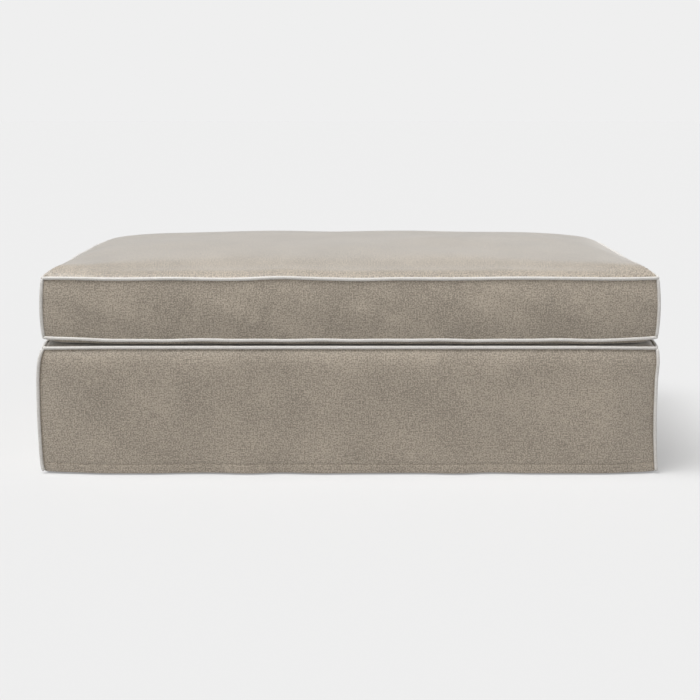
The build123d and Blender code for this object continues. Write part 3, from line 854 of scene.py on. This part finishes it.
# %% Level the boxing beside the zip
zip_low, zip_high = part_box("zip_rows")
zip_middle = (zip_low[2] + zip_high[2]) / 2
slot_half_height = (zip_high[2] - zip_low[2]) / 2 + 0.0023
by_zip = (loop[:, 1] >= 1) & (np.abs(loop[:, 0] * cushion_x) < zip_high[0] + 0.02)
fade = np.clip((zip_high[0] + 0.06 - np.abs(boxing_net[..., 0])) / 0.06, 0, 1) * (loop[:, 1] >= 1)
fade = fade * np.exp(-(((boxing_net[..., 2] - zip_middle) / 0.024) ** 2))
level_back = boxing_net[:, by_zip, 1].mean(axis=1)[:, None]
boxing_net[..., 1] += fade * (level_back - boxing_net[..., 1])
print(f"the boxing stands at {1000 * level_back[boxing_rows // 2, 0]:.1f} mm beside the zip")

# %% [markdown]
# The cover is sewn from separate panels. The top and the bottom are one panel each, from seam to seam. The
# cloth's coordinates are moved apart for the bottom, so that the two don't show the same slubs.

# %% Make the top and bottom panels
flat_uv = np.stack([net_u * cushion_x, net_v * cushion_y], axis=-1)
cover_top = add_net("cushion_cover_top", top_net, flat_uv, cover_cloth)
cover_bottom = add_net("cushion_cover_bottom", bottom_net, flat_uv + 3.0, cover_cloth, flip=True)
for piece, node in ((cover_top, "cushion_top_panel"), (cover_bottom, "cushion_bottom_panel")):
    refine(piece)
    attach(piece, "cushion")
    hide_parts(node)

corner_columns = [0, columns_across, columns_across + rows_deep, 2 * columns_across + rows_deep, len(loop)]
side_names = ("front", "right", "back", "left")
ring = np.concatenate([boxing_net, boxing_net[:, :1]], axis=1)
ring_length = np.append(side_length[0], 4 * (cushion_x + cushion_y))
print("panels cut at columns", corner_columns)

# %% [markdown]
# The boxing is the band round the cushion's sides, cut into four panels at the corner seams. Each panel dips into
# the seam beside the corner piping. The back panel is split for the zip: its middle stays open over the zip's
# length, and the two edges are turned in.

# %% Make the boxing panels
groove_depth, groove_width = 0.0012, 0.005


def groove(distance):
    """How far cloth dips in beside a seam."""
    return groove_depth * np.exp(-((distance / groove_width) ** 2))


def side_panel(net, lengths, outward):
    """One side's part of a ring of points, pulled into the seams at its two ends."""
    net = net.copy()
    from_end = np.minimum(lengths - lengths[0], lengths[-1] - lengths)
    net[..., 0] -= outward[0] * groove(from_end)
    net[..., 1] -= outward[1] * groove(from_end)
    return net


outward_ways = {"front": (0, -1), "right": (1, 0), "back": (0, 1), "left": (-1, 0)}
for number, side in enumerate(side_names):
    first, last = corner_columns[number], corner_columns[number + 1]
    lengths = ring_length[first : last + 1]
    net = side_panel(ring[:, first : last + 1], lengths, outward_ways[side])
    name = "cushion_boxing_" + side
    if side == "back":
        middle = boxing_rows // 2
        open_columns = np.abs(net[middle, :, 0]) < zip_high[0]
        ends = np.flatnonzero(open_columns)[[0, -1]]
        for column, way in ((ends[0], 1), (ends[1], -1)):
            net[:, column, 0] = way * zip_high[0]
        lip_share = slot_half_height / (net[middle + 1, :, 2] - net[middle, :, 2])
        halves = []
        for way in (1, -1):
            edge = net[middle] + (net[middle + way] - net[middle]) * np.minimum(lip_share, 0.95)[:, None]
            tucked = edge - np.array([0, 0.0016, -way * 0.0004])
            closing = np.where(open_columns[:, None], tucked, net[middle])
            rows = [closing, np.where(open_columns[:, None], edge, net[middle] + 0.5 * (edge - net[middle]))]
            rows += [net[middle + way * step] for step in range(1, middle + 1)]
            halves.append(np.stack(rows))
        pieces = []
        for half, part in ((halves[1][::-1], "lower"), (halves[0], "upper")):
            part_uv = np.stack(np.broadcast_arrays(lengths[None], half[..., 2]), axis=-1)
            pieces.append(add_net(f"{name}_{part}", half, part_uv, cover_cloth))
    else:
        uv = np.stack(np.broadcast_arrays(lengths[None], net[..., 2]), axis=-1)
        pieces = [add_net(name, net, uv, cover_cloth)]
    for piece in pieces:
        thicken(piece, cloth)
        refine(piece)
        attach(piece, "cushion")
        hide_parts("boxing_" + side)

# %% [markdown]
# Piping is a cord in a strip of cloth cut on the bias, so its weave runs at 45 degrees. It follows the seams, a
# little outside them, and turns each corner in a small round bend. The corner cords stand between the two loops.

# %% Run the cushion's piping
cord_turn = 0.007


def rounded_loop(sides, radius):
    """A closed line of sides, each ending where the next one starts, with its corners rounded."""
    cut_sides = []
    for side in sides:
        run = run_along(side)
        keep = (run > radius * 1.3) & (run < run[-1] - radius * 1.3)
        ends = [[np.interp(place, run, side[:, axis]) for axis in range(3)] for place in (radius, run[-1] - radius)]
        cut_sides.append(np.vstack([ends[0], side[keep], ends[1]]))
    line = []
    for this, following, side in zip(cut_sides, cut_sides[1:] + cut_sides[:1], sides):
        corner = side[-1]
        share = np.linspace(0, 1, 8)[1:-1, None]
        bend = (1 - share) ** 2 * this[-1] + 2 * share * (1 - share) * corner + share**2 * following[0]
        line += [this, bend]
    return np.vstack(line)


def seam_loop(half, draw_in, height):
    """The sides of a seam that goes round, at a height that depends on the place."""
    sides = []
    for number in range(4):
        first, last = corner_columns[number], corner_columns[number + 1]
        shares = loop_closed[first : last + 1]
        x, y = in_plan(shares[:, 0], shares[:, 1], half, cord_stand_off, draw_in)
        sides.append(np.stack([x, y, height(shares[:, 0], shares[:, 1])], axis=-1))
    return sides


def dress_cord(piece, body, node):
    """Settles a piece of piping: smooth, riding on its body, in place of the frame's cord."""
    refine(piece)
    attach(piece, body)
    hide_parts(node)


for name, height in (("top", top_seam_height), ("bottom", bottom_seam_height)):
    line = rounded_loop(seam_loop(cushion_half, seam_draw_in, height), cord_turn)
    piping = tube(f"cushion_{name}_piping_cord", line, cord_radius, piping_cloth, closed=True)
    dress_cord(piping, "cushion", f"cushion_{name}_piping")

corners = {"front_left": (-1, -1), "front_right": (1, -1), "back_right": (1, 1), "back_left": (-1, 1)}
for name, (u, v) in corners.items():
    share = np.linspace(0.01, 0.99, 14)
    line = np.stack([boxing_row(s, np.array(u), np.array(v)) for s in share])
    line[:, :2] += np.array([u, v]) * 0.0008
    piping = tube(f"cushion_corner_cord_{name}", line, cord_radius, piping_cloth)
    dress_cord(piping, "cushion", f"cushion_corner_piping_{name}")

# %% [markdown]
# A closed nylon zip is two rows of coils that grip each other. Each coil is drawn as a small bent loop across its
# tape, and the two rows are set half a step apart, as they mesh. The tapes are a fine weave laid at 45 degrees,
# with a line of stitches where they are sewn to the boxing.

# %% Make the zip's tapes, coils and stitches
coil_step, coil_width, coil_thickness = 0.0023, 0.00055, 0.00030
zip_stitch_pitch, zip_stitch_height, stitch_proud = 0.0034, 0.0035, 0.0001
tape_low, tape_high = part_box("zip_tape")


def stitch_row(name, places, ways, outs, length=0.0026, width=0.0006, height=0.0004):
    """A row of stitches: short, rounded thread ends, each along its own way."""
    share = np.array([-0.5, -0.36, 0.36, 0.5])
    fatness = np.array([0.25, 1, 1, 0.25])
    points, faces = [], []
    for s, f in zip(share, fatness):
        points += [(s * length, w * width / 2 * f, h * height * f) for w, h in ((-1, 0), (-0.7, 1), (0.7, 1), (1, 0))]
    for row in range(3):
        faces += [[row * 4 + i, row * 4 + i + 1, row * 4 + i + 5, row * 4 + i + 4] for i in range(3)]
    faces += [[0, 1, 2, 3][::-1], [12, 13, 14, 15]]
    ways, outs = unit(np.asarray(ways, dtype=float)), unit(np.asarray(outs, dtype=float))
    frames = np.stack([ways, np.cross(outs, ways), outs], axis=-1)
    return scatter(name, points, faces, places, frames, stitch_thread)


def zip_tapes():
    """Both tapes as one thin woven strip each side of the coils."""
    height = (tape_high[2] - tape_low[2]) / 2 - 0.0002
    xs = np.linspace(tape_low[0], tape_high[0], 120)
    for part, way in (("upper", 1), ("lower", -1)):
        zs = zip_middle + way * np.linspace(0.0002, height, 5)
        x, z = np.meshgrid(xs, zs)
        y = np.full_like(x, tape_high[1] - 0.00005)
        net = np.stack([x, y, z], axis=-1)
        piece = add_net(f"zip_tape_{part}", net, np.stack([x, z], axis=-1), tape_cloth, flip=way > 0)
        thicken(piece, 0.0007)
        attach(piece, "cushion")
        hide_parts("zip_tape")


def zip_coils():
    """Two rows of coil loops that mesh along the middle."""
    depth = (zip_high[1] - zip_low[1]) / 2
    bend = [(0.0, 0.0028), (0.35, 0.0028), (0.9, 0.0020), (1.0, 0.0006), (0.9, -0.0004), (0.35, -0.0004), (0.0, 0.0)]
    line = np.array([(0, zip_low[1] + depth * (0.35 + 1.3 * out), z) for out, z in bend])
    sides = 6
    points = []
    for x, y, z in line:
        for turn in np.linspace(0, 2 * math.pi, sides, endpoint=False):
            across_coil, along_coil = coil_width * math.cos(turn), coil_thickness * math.sin(turn)
            points.append((x + across_coil, y + along_coil, z + along_coil))
    faces = net_faces(len(line), sides, closed=True).tolist()
    count = int((zip_high[0] - zip_low[0]) / coil_step) - 1
    places, frames = [], []
    for way in (1, -1):
        for number in range(count):
            x = zip_low[0] + (number + (0.75 if way > 0 else 1.25)) * coil_step
            places.append((x, 0, zip_middle))
            frames.append(np.diag([1, 1, way]))
    piece = scatter("zip_coils", points, faces, places, frames, coil_plastic)
    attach(piece, "cushion")
    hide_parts("zip_rows")
    return count


zip_tapes()
coils = zip_coils()
stitch_xs = np.arange(zip_low[0] + 0.002, zip_high[0], zip_stitch_pitch)
for part, way in (("upper", 1), ("lower", -1)):
    places = np.zeros((len(stitch_xs), 3))
    places[:, 0] = stitch_xs
    height = slot_half_height + zip_stitch_height
    places[:, 2] = zip_middle + way * height
    columns = np.abs(loop[:, 1] - 1) < 1e-6
    middle_row = boxing_rows // 2 + way
    order = np.argsort(loop[columns, 0])
    surface = boxing_net[middle_row][columns][order]
    places[:, 1] = np.interp(stitch_xs, surface[:, 0], surface[:, 1]) + stitch_proud
    count = len(places)
    piece = stitch_row(f"zip_stitches_{part}", places, [(1, 0, 0)] * count, [(0, 1, 0)] * count)
    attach(piece, "cushion")
print("zip:", coils, "coils on each side,", 2 * len(stitch_xs), "stitches")

# %% [markdown]
# Inside the cover there is a foam block between two layers of fibre. Nobody sees them until the zip is opened, but
# they are what the cover lies on, so each is a closed form a little smaller than the cloth around it.

# %% Make the cushion's filling
def sandwich(name, upper, lower, material, side_rows=0, swell=0.0):
    """A closed form between an upper and a lower net, whose sides can swell between them."""
    rows, columns = upper.shape[:2]
    count = rows * columns
    rim = border(rows, columns)
    upper_points, lower_points = upper.reshape(-1, 3), lower.reshape(-1, 3)
    top_rim, low_rim = upper_points[rim], lower_points[rim]
    out = np.trunc(loop_small)
    middle = []
    for share in np.linspace(0, 1, side_rows + 2)[1:-1]:
        row = low_rim + share * (top_rim - low_rim)
        row[:, :2] += out * swell * (1 - (2 * share - 1) ** 2)
        middle.append(row)
    points = np.vstack([upper_points, lower_points, *middle])
    net = net_faces(rows, columns)
    faces = [list(f) for f in net] + [list(f + count) for f in net[:, ::-1]]
    ladder = [rim + count] + [2 * count + i * len(rim) + np.arange(len(rim)) for i in range(side_rows)] + [rim]
    faces += ladder_faces(ladder)
    uvs = np.concatenate([points[f][:, :2] + points[f][:, 2:] for f in faces])
    return add_mesh(name, points, faces, uvs, material)


skipped = 4
small_across, small_along = across[::skipped], along[::skipped]
small_u, small_v = np.meshgrid(small_across, small_along)
loop_small = loop_shares(small_across, small_along)


def level(u, v, half, grow, draw_in, height):
    """A flat net inside an outline."""
    x, y = in_plan(u, v, half, grow, draw_in)
    return np.stack([x, y, np.full_like(x, height)], axis=-1)


inset = 0.005
foam_low, foam_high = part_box("foam_core")
foam_inset, foam_draw_in = 0.0125, 0.020
foam_top = level(small_u, small_v, cushion_half, -foam_inset, foam_draw_in, foam_high[2] - 0.0004)
foam_bottom = level(small_u, small_v, cushion_half, -foam_inset, foam_draw_in, foam_low[2] + 0.0004)
foam = sandwich("foam_block", foam_top, foam_bottom, foam_block, 7, 0.0035)
wrap_top = top_net[::skipped, ::skipped].copy()
wrap_top[..., :2] *= (np.array(cushion_half) - inset - 0.003) / np.array(cushion_half)
wrap_top[..., 2] -= 0.0035
flat_top = level(small_u, small_v, cushion_half, -inset - 0.003, seam_draw_in, foam_high[2] + 0.0004)
wrap_top[..., 2] = np.maximum(wrap_top[..., 2], flat_top[..., 2] + 0.0006)
upper_wrap = sandwich("fibre_layer_top", wrap_top, flat_top, fibre_mat)
wrap_bottom = bottom_net[::skipped, ::skipped].copy()
wrap_bottom[..., :2] *= (np.array(cushion_half) - inset - 0.003) / np.array(cushion_half)
wrap_bottom[..., 2] += 0.0035
flat_bottom = level(small_u, small_v, cushion_half, -inset - 0.003, seam_draw_in, foam_low[2] - 0.0004)
wrap_bottom[..., 2] = np.minimum(wrap_bottom[..., 2], flat_bottom[..., 2] - 0.0006)
lower_wrap = sandwich("fibre_layer_bottom", flat_bottom, wrap_bottom, fibre_mat)
for piece, node, slot_name in (
    (foam, "foam_core", "foam"),
    (upper_wrap, "fibre_wrap_top", "wadding"),
    (lower_wrap, "fibre_wrap_bottom", "wadding"),
):
    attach(piece, "cushion")
    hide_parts(node)
print("filling:", foam.name, upper_wrap.name, lower_wrap.name)

# %% [markdown]
# The slipcover's skirt hangs from the deck seam. It rounds the padded top edge and falls nearly straight to just
# off the floor. Below the frame nothing is behind the cloth, so it waves a little more there, and each free
# corner swings a few millimetres to one side.

# %% Shape the skirt
hem_depth = 0.019
flare, hem_flare, flare_power = 0.011, 0.008, 4.5
full_height = hem_bottom + 0.72 * (skirt_top - hem_bottom)
frame_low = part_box("front_rail")[0][2]
seam_drop, swing_reach = 0.0025, 0.060
corner_swings = {
    (-1, -1): ((0.003, 0.0012), (0.016, -0.0025), (0.05, -0.0045), (0.12, -0.0065), (0.20, -0.0060), (0.25, 0.0)),
    (1, -1): (
        (0.003, -0.0010), (0.03, -0.003), (0.08, -0.0055), (0.13, -0.0065), (0.2, -0.006), (0.245, -0.004),
        (0.262, 0.0),
    ),
    (1, 1): ((0.003, -0.002), (0.05, 0.001), (0.2, 0.0)),
    (-1, 1): ((0.003, 0.003), (0.04, -0.001), (0.12, -0.0035), (0.2, -0.003), (0.25, 0.0)),
}
skirt_wander = ripple(31, 7, 0.16, 0.55)
skirt_lean = ripple(32, 6, 0.22, 0.7)
hem_wave = ripple(33, 6, 0.10, 0.40)
hem_puckers = ripple(34, 9, 0.020, 0.045)
deck_puckers = ripple(35, 9, 0.024, 0.055)


def skirt_flare_at(height):
    """How far the skirt stands out from the deck seam's line, at a height."""
    above = np.clip((height - full_height) / (skirt_top - full_height), 0, 1)
    below = np.clip((full_height - height) / (full_height - hem_bottom), 0, 1)
    return flare * (1 - above**flare_power) - (flare - hem_flare) * below


def skirt_draw_at(height):
    """How far the skirt's corners are pulled in, at a height."""
    above = np.clip((height - full_height) / (skirt_top - full_height), 0, 1)
    below = np.clip((full_height - height) / (full_height - hem_bottom), 0, 1)
    return 0.008 + 0.006 * (1 - above**2) - 0.002 * below


def deck_seam_drop(u, v):
    """How far the deck seam sinks: a little towards the corners, where the skirt pulls on it."""
    near_x = np.clip((np.abs(u) * base_x - (base_x - seam_lift_run)) / seam_lift_run, 0, 1) ** 2
    return seam_drop * near_x * np.clip((np.abs(v) * base_y - (base_y - seam_lift_run)) / seam_lift_run, 0, 1) ** 2


def settled(points):
    """Points of the skirt after each free corner has swung a little sideways."""
    points = points.copy()
    for (u, v), swing in corner_swings.items():
        off = np.hypot(points[..., 0] - u * base_x, points[..., 1] - v * base_y)
        shift = np.interp(points[..., 2], *zip(*swing))
        points[..., 0] += shift * np.exp(-((off / swing_reach) ** 2))
    return points


def skirt_row(height, length, in_from_face=0.0, stitched=0.0, doubled=0.0):
    """One row of the skirt's points all the way round, at a height above the floor."""
    u, v = loop_closed.T
    x, y = in_plan(u, v, base_half, skirt_flare_at(height) - in_from_face, skirt_draw_at(height))
    near_corner = np.maximum(
        pulled(u * base_x, base_x) * (np.abs(v) >= 1), pulled(v * base_y, base_y) * (np.abs(u) >= 1)
    )
    free = np.clip((frame_low - height) / (frame_low - hem_bottom), 0, 1)
    middle = np.clip((skirt_top - height) / 0.05, 0, 1)
    out = 0.0010 * skirt_wander(length + 0.4 * height) * middle + 0.0008 * skirt_lean(length - 0.5 * height) * middle
    out = out + 0.0013 * hem_wave(length) * free * (1 - near_corner)
    out = out + 0.0005 * deck_puckers(length) * np.exp(-(skirt_top - height) / 0.012)
    out = out + stitched * (-0.0007 + 0.0003 * hem_puckers(length)) + doubled * 0.0002
    way = unit(np.trunc(loop_closed))
    rise = 0.0015 * near_corner**2 * np.clip((0.05 - height) / 0.05, 0, 1)
    rise = rise - deck_seam_drop(u, v) * np.clip((height - frame_low) / (skirt_top - frame_low), 0, 1) ** 2
    return settled(np.stack([x + out * way[:, 0], y + out * way[:, 1], height + rise], axis=-1))

print(f"the skirt is fullest at {full_height:.3f} m and free below {frame_low:.3f} m")

# %% [markdown]
# The hem is turned up once and stitched, so it is twice as thick as the rest, and its stitching draws the cloth in
# along one line. The rows go down the front, round the fold and up behind it, and lie close together at the
# stitching and at the fold.

# %% Cut and hem the skirt
hem_turned_up, hem_layer, skirt_cloth, hem_stitch_pitch = 0.0175, 0.0028, 0.0010, 0.0035
base_length = np.append(round_length(loop[:, 0], loop[:, 1], base_half), 4 * (base_x + base_y))
stitch_height = hem_bottom + hem_depth
upper_heights = np.concatenate([
    skirt_top + cord_radius - 0.0006 - 0.09 * np.linspace(0, 1, 22) ** 1.5,
    np.linspace(skirt_top - 0.10, stitch_height + 0.008, 20),
])
lower_heights = np.array([0.0045, 0.0030, 0.0016]) + stitch_height
skirt_rows = [skirt_row(h, base_length) for h in upper_heights]
skirt_rows += [skirt_row(h, base_length, 0, s) for h, s in zip(lower_heights, (0.1, 0.35, 0.75))]
stitch_line = skirt_row(stitch_height, base_length, 0, 1.0)
skirt_rows.append(stitch_line)
for depth, strength in ((0.0014, 0.75), (0.0030, 0.3), (0.0050, 0.1), (0.010, 0), (0.0155, 0)):
    skirt_rows.append(skirt_row(stitch_height - depth, base_length, 0, strength, 1.0))
for height, inward in ((0.0012, 0.0), (0.0003, 0.0006), (0.0, 0.0014), (0.0003, 0.0022), (0.0012, hem_layer)):
    skirt_rows.append(skirt_row(hem_bottom + height, base_length, inward, 0, 1.0))
for height in (0.006, 0.012, hem_turned_up):
    skirt_rows.append(skirt_row(hem_bottom + height, base_length, hem_layer, 0, 1.0))
skirt_net = np.stack(skirt_rows[::-1])
fall = run_along(skirt_net[:, columns_across // 2])
for number, side in enumerate(side_names):
    first, last = corner_columns[number], corner_columns[number + 1]
    lengths = base_length[first : last + 1]
    net = side_panel(skirt_net[:, first : last + 1], lengths, outward_ways[side])
    uv = np.stack(np.broadcast_arrays(lengths[None], fall[:, None]), axis=-1)
    piece = add_net("slipcover_skirt_" + side, net, uv, cover_cloth)
    thicken(piece, skirt_cloth)
    refine(piece)
    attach(piece, "base")
    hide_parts("skirt_" + side)
    places = np.arange(lengths[0] + 0.006, lengths[-1] - 0.005, hem_stitch_pitch)
    line = side_panel(stitch_line[first : last + 1][None], lengths, outward_ways[side])[0]
    line = np.stack([np.interp(places, lengths, line[:, axis]) for axis in range(3)], axis=-1)
    out = np.array([*outward_ways[side], 0.0])
    ways = np.gradient(line, axis=0)
    stitches = stitch_row("hem_stitches_" + side, line + 0.0002 * out, ways, [out] * len(line))
    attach(stitches, "base")
print(f"skirt: {fall[-1]:.3f} m of cloth from its seam to the end of its hem")

# %% [markdown]
# The base has piping of its own: one loop round the deck seam, and one cord down each corner of the skirt. The
# corner cords take the same swing as the cloth beside them.

# %% Run the base's piping
deck_draw_in, cord_lead = 0.008, 0.0018
deck_sides = seam_loop(base_half, deck_draw_in, lambda u, v: deck_seam - deck_seam_drop(u, v))
deck_line = rounded_loop(deck_sides, cord_turn)
dress_cord(tube("deck_piping_cord", deck_line, cord_radius, piping_cloth, closed=True), "base", "deck_piping")
for name, (u, v) in corners.items():
    heights = np.linspace(hem_bottom + 0.0005, skirt_top - 0.0005, 40)
    at_u, at_v = np.full(len(heights), float(u)), np.full(len(heights), float(v))
    x, y = in_plan(at_u, at_v, base_half, skirt_flare_at(heights), skirt_draw_at(heights))
    line = settled(np.stack([x + u * cord_lead, y + v * cord_lead, heights], axis=-1))
    line[:, 2] += 0.0015 * np.clip((0.05 - heights) / 0.05, 0, 1)
    piping = tube(f"skirt_corner_cord_{name}", line, cord_radius, piping_cloth)
    dress_cord(piping, "base", f"skirt_corner_piping_{name}")
print("base piping:", len(corners) + 1, "cords")

# %% [markdown]
# Under the cushion lies the deck: a cloth panel that comes up out of its seam and then lies flat, a little
# uneven, over a pad whose edges are rounded off.

# %% Lay the deck and its pad
base_u, base_v = np.meshgrid(graded(104), graded(62))
off_deck = np.minimum((1 - np.abs(base_u)) * base_x, (1 - np.abs(base_v)) * base_y)
x, y = in_plan(base_u, base_v, base_half, -0.0015, deck_draw_in)
edge_height = deck_seam - deck_seam_drop(base_u, base_v)
deck_wave = surface_ripple(41, 10, 0.12, 0.4)
deck_rise = (deck_top - edge_height) * rise_share(off_deck, 0.014)
deck_sink = (0.0002 + 0.00015 * (1 + deck_wave(x, y))) * rise_share(off_deck, 0.03)
deck_net = np.stack([x, y, edge_height + deck_rise - deck_sink], axis=-1)
deck = add_net("slipcover_deck", deck_net, np.stack([x, y], axis=-1), cover_cloth)
thicken(deck, skirt_cloth)
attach(deck, "base")
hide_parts("deck_panel")

pad_low, pad_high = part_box("deck_padding")
pad_half = (pad_high[0], pad_high[1])
off_pad = np.minimum((1 - np.abs(small_u)) * pad_half[0], (1 - np.abs(small_v)) * pad_half[1])
pad_top = level(small_u, small_v, pad_half, -0.001, deck_draw_in, pad_high[2] - 0.0003)
pad_top[..., 2] -= 0.007 * (1 - rise_share(off_pad, 0.02))
pad_bottom = level(small_u, small_v, pad_half, -0.001, deck_draw_in, pad_low[2] + 0.0002)
pad = sandwich("deck_pad", pad_top, pad_bottom, fibre_mat, 3, 0.001)
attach(pad, "base")
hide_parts("deck_padding")
print(f"deck at {deck_net[..., 2].max():.4f} m")

# %% [markdown]
# A band of wadding rounds off the frame's sides, so that the skirt has no hard edge to hang over. Its outside
# follows the skirt's own rows, a little further in, and its inside lies against the rails.

# %% Wrap the wadding band
rail_clearance, band_blunt = 0.0003, 0.004
band_low, band_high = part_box("side_wadding")
rail_x, rail_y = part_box("front_rail")[1][0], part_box("back_rail")[1][1]
band_heights = np.linspace(band_low[2] + 0.0005, band_high[2] - 0.0005, 12)
outer = [skirt_row(h, base_length, 0.0042)[:-1] for h in band_heights]
inner_x, inner_y = loop[:, 0] * (rail_x + rail_clearance), loop[:, 1] * (rail_y + rail_clearance)
inner = [np.stack([inner_x, inner_y, np.full_like(inner_x, h)], axis=-1) for h in band_heights[::-5]]
for row in (0, -1):
    outer[row][:, :2] -= band_blunt * np.trunc(loop)
band_net = np.stack(outer + inner)
section = np.arange(len(band_net) + 1) * 0.013
band_uv = np.stack(np.broadcast_arrays(base_length[None], section[:, None]), axis=-1)
band = add_net("wadding_band", band_net, band_uv, fibre_mat, closed=True, looped=True)
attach(band, "base")
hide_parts("side_wadding")
print(f"wadding band from {band_low[2]:.3f} to {band_high[2]:.3f} m")

# %% [markdown]
# The pad rests on webbing: seven strips across and three along, woven over and under each other. A strip's height
# follows a smooth wave that passes over or under each crossing strip and ends level on the rails.

# %% Weave the webbing
strip_half_width, weave_step = 0.035, 0.00095
on_rail, crossing_reach, strip_step, strip_cloth = 0.024, 0.037, 0.006, 0.0015
cross_low, cross_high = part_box("cross_webbing_1")
strip_middle = (cross_low[2] + cross_high[2]) / 2
cross_places = [(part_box(f"cross_webbing_{i}")[0][0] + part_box(f"cross_webbing_{i}")[1][0]) / 2 for i in range(1, 8)]
long_places = [(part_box(f"long_webbing_{i}")[0][1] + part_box(f"long_webbing_{i}")[1][1]) / 2 for i in range(1, 4)]


def webbing(name, node, place, end, crossings, first_over, along_x):
    """One strip of webbing, woven over and under the strips that it meets."""
    knots, heights = [-end, -end + on_rail], [0.1, 0.1]
    for number, crossing in enumerate(crossings):
        over = 1 if (number + first_over) % 2 else -1
        knots += [crossing - crossing_reach, crossing + crossing_reach]
        heights += [over, over]
    knots, heights = knots + [end - on_rail, end], heights + [0.1, 0.1]
    run = np.linspace(-end, end, int(2 * end / strip_step))
    height = np.interp(run, knots, heights)
    height = np.sin(height * math.pi / 2) * weave_step + strip_middle
    wide = strip_half_width * np.array([-1, -0.97, -0.5, 0, 0.5, 0.97, 1])
    if along_x:
        net = np.stack(np.broadcast_arrays(run[None], place + wide[:, None], height[None]), axis=-1)
    else:
        net = np.stack(np.broadcast_arrays(place + wide[None], run[:, None], height[:, None]), axis=-1)
    net = net + np.array([0, 0, 0.00075])
    piece = add_net(name, net, net[..., :2].copy(), webbing_cloth)
    thicken(piece, strip_cloth)
    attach(piece, "base")
    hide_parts(node)


for number, place in enumerate(cross_places):
    strip, node = f"webbing_strip_{number + 1}", f"cross_webbing_{number + 1}"
    webbing(strip, node, place, cross_high[1], long_places, number, False)
long_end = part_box("long_webbing_1")[1][0]
for number, place in enumerate(long_places):
    strip, node = f"webbing_run_{number + 1}", f"long_webbing_{number + 1}"
    webbing(strip, node, place, long_end, cross_places, number + 1, True)

print("webbing:", len(cross_places), "strips across and", len(long_places), "along")

# %% [markdown]
# Each end of a strip is tacked to its rail in a zigzag of five, so that the wood doesn't split along one line. Only
# the heads show, so a tack is a small dome, laid many times.

# %% Drive the tacks
def button(radius, height, sides=10):
    """A small domed head: rings of points from its rim to its middle, and their faces."""
    turn = np.linspace(0, 2 * math.pi, sides, endpoint=False)
    points = []
    for across_share, up_share in ((1, 0), (1, 0.35), (0.75, 0.8), (0.35, 1)):
        wide = radius * across_share
        points += [(wide * math.cos(t), wide * math.sin(t), height * up_share) for t in turn]
    faces = net_faces(4, sides, closed=True).tolist()
    return points, faces + [list(range(3 * sides, 4 * sides)), list(reversed(range(sides)))]


tack_offs = (-0.026, -0.013, 0.0, 0.013, 0.026)
tack_places = []
for way in (-1, 1):
    for number, off in enumerate(tack_offs):
        inward = 0.009 + 0.006 * (number % 2)
        tack_places += [(place + off, way * (rail_y - inward), strip_middle + 0.0009) for place in cross_places]
        tack_places += [(way * (rail_x - inward), place + off, strip_middle + 0.0009) for place in long_places]
head_points, head_faces = button(0.0028, 0.0007)
tacks = scatter("webbing_tacks", head_points, head_faces, tack_places, [np.eye(3)] * len(tack_places), zinc)
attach(tacks, "base")
print("tacks:", len(tack_places))

# %% [markdown]
# A thin black cloth closes the bottom against dust. It is stretched between the rails and held up by the stretcher
# in the middle, so it sags a little in each half.

# %% Stretch the dust cover
dust_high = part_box("dust_cover")[1]
dust_u, dust_v = np.meshgrid(np.linspace(-1, 1, 81), np.linspace(-1, 1, 49))
dust_x, dust_y = dust_u * dust_high[0], dust_v * dust_high[1]
sag = 0.0045 * (1 - dust_v**2) * np.sin(np.abs(dust_u) * math.pi) ** 2
creases = surface_ripple(43, 9, 0.08, 0.3)
dust_height = dust_high[2] - 0.0001 - sag * (1 + 0.2 * creases(dust_x, dust_y))
dust_net = np.stack([dust_x, dust_y, dust_height], axis=-1)
dust = add_net("dust_cloth_sheet", dust_net, dust_net[..., :2].copy(), dust_cloth)
thicken(dust, 0.0006)
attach(dust, "base")
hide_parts("dust_cover")
print(f"the dust cover sags by up to {1000 * (dust_high[2] - dust_height.min()):.1f} mm")

# %% [markdown]
# Screws hold the corner blocks to the rails. They are the same small dome as the tacks, in a larger size.

# %% Drive the screws
block_low, block_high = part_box("corner_block_back_right")
screw_points, screw_faces = button(0.0045, 0.0022, 14)
screw_places, screw_frames = [], []
for u, v in corners.values():
    out = np.array([-u, -v, 0]) / math.sqrt(2)
    along_face = np.array([v, -u, 0]) / math.sqrt(2)
    face_middle = np.array([u * (block_low[0] + block_high[0]) / 2, v * (block_low[1] + block_high[1]) / 2, 0])
    for off in (-0.045, 0.045):
        for share in (0.25, 0.75):
            height = block_low[2] + share * (block_high[2] - block_low[2])
            screw_places.append(face_middle + along_face * off + np.array([0, 0, height]))
            screw_frames.append(np.stack([along_face, np.cross(out, along_face), out], axis=-1))
screws = scatter("corner_block_screws", screw_points, screw_faces, screw_places, screw_frames, zinc)
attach(screws, "base")
print("screws:", len(screw_places))
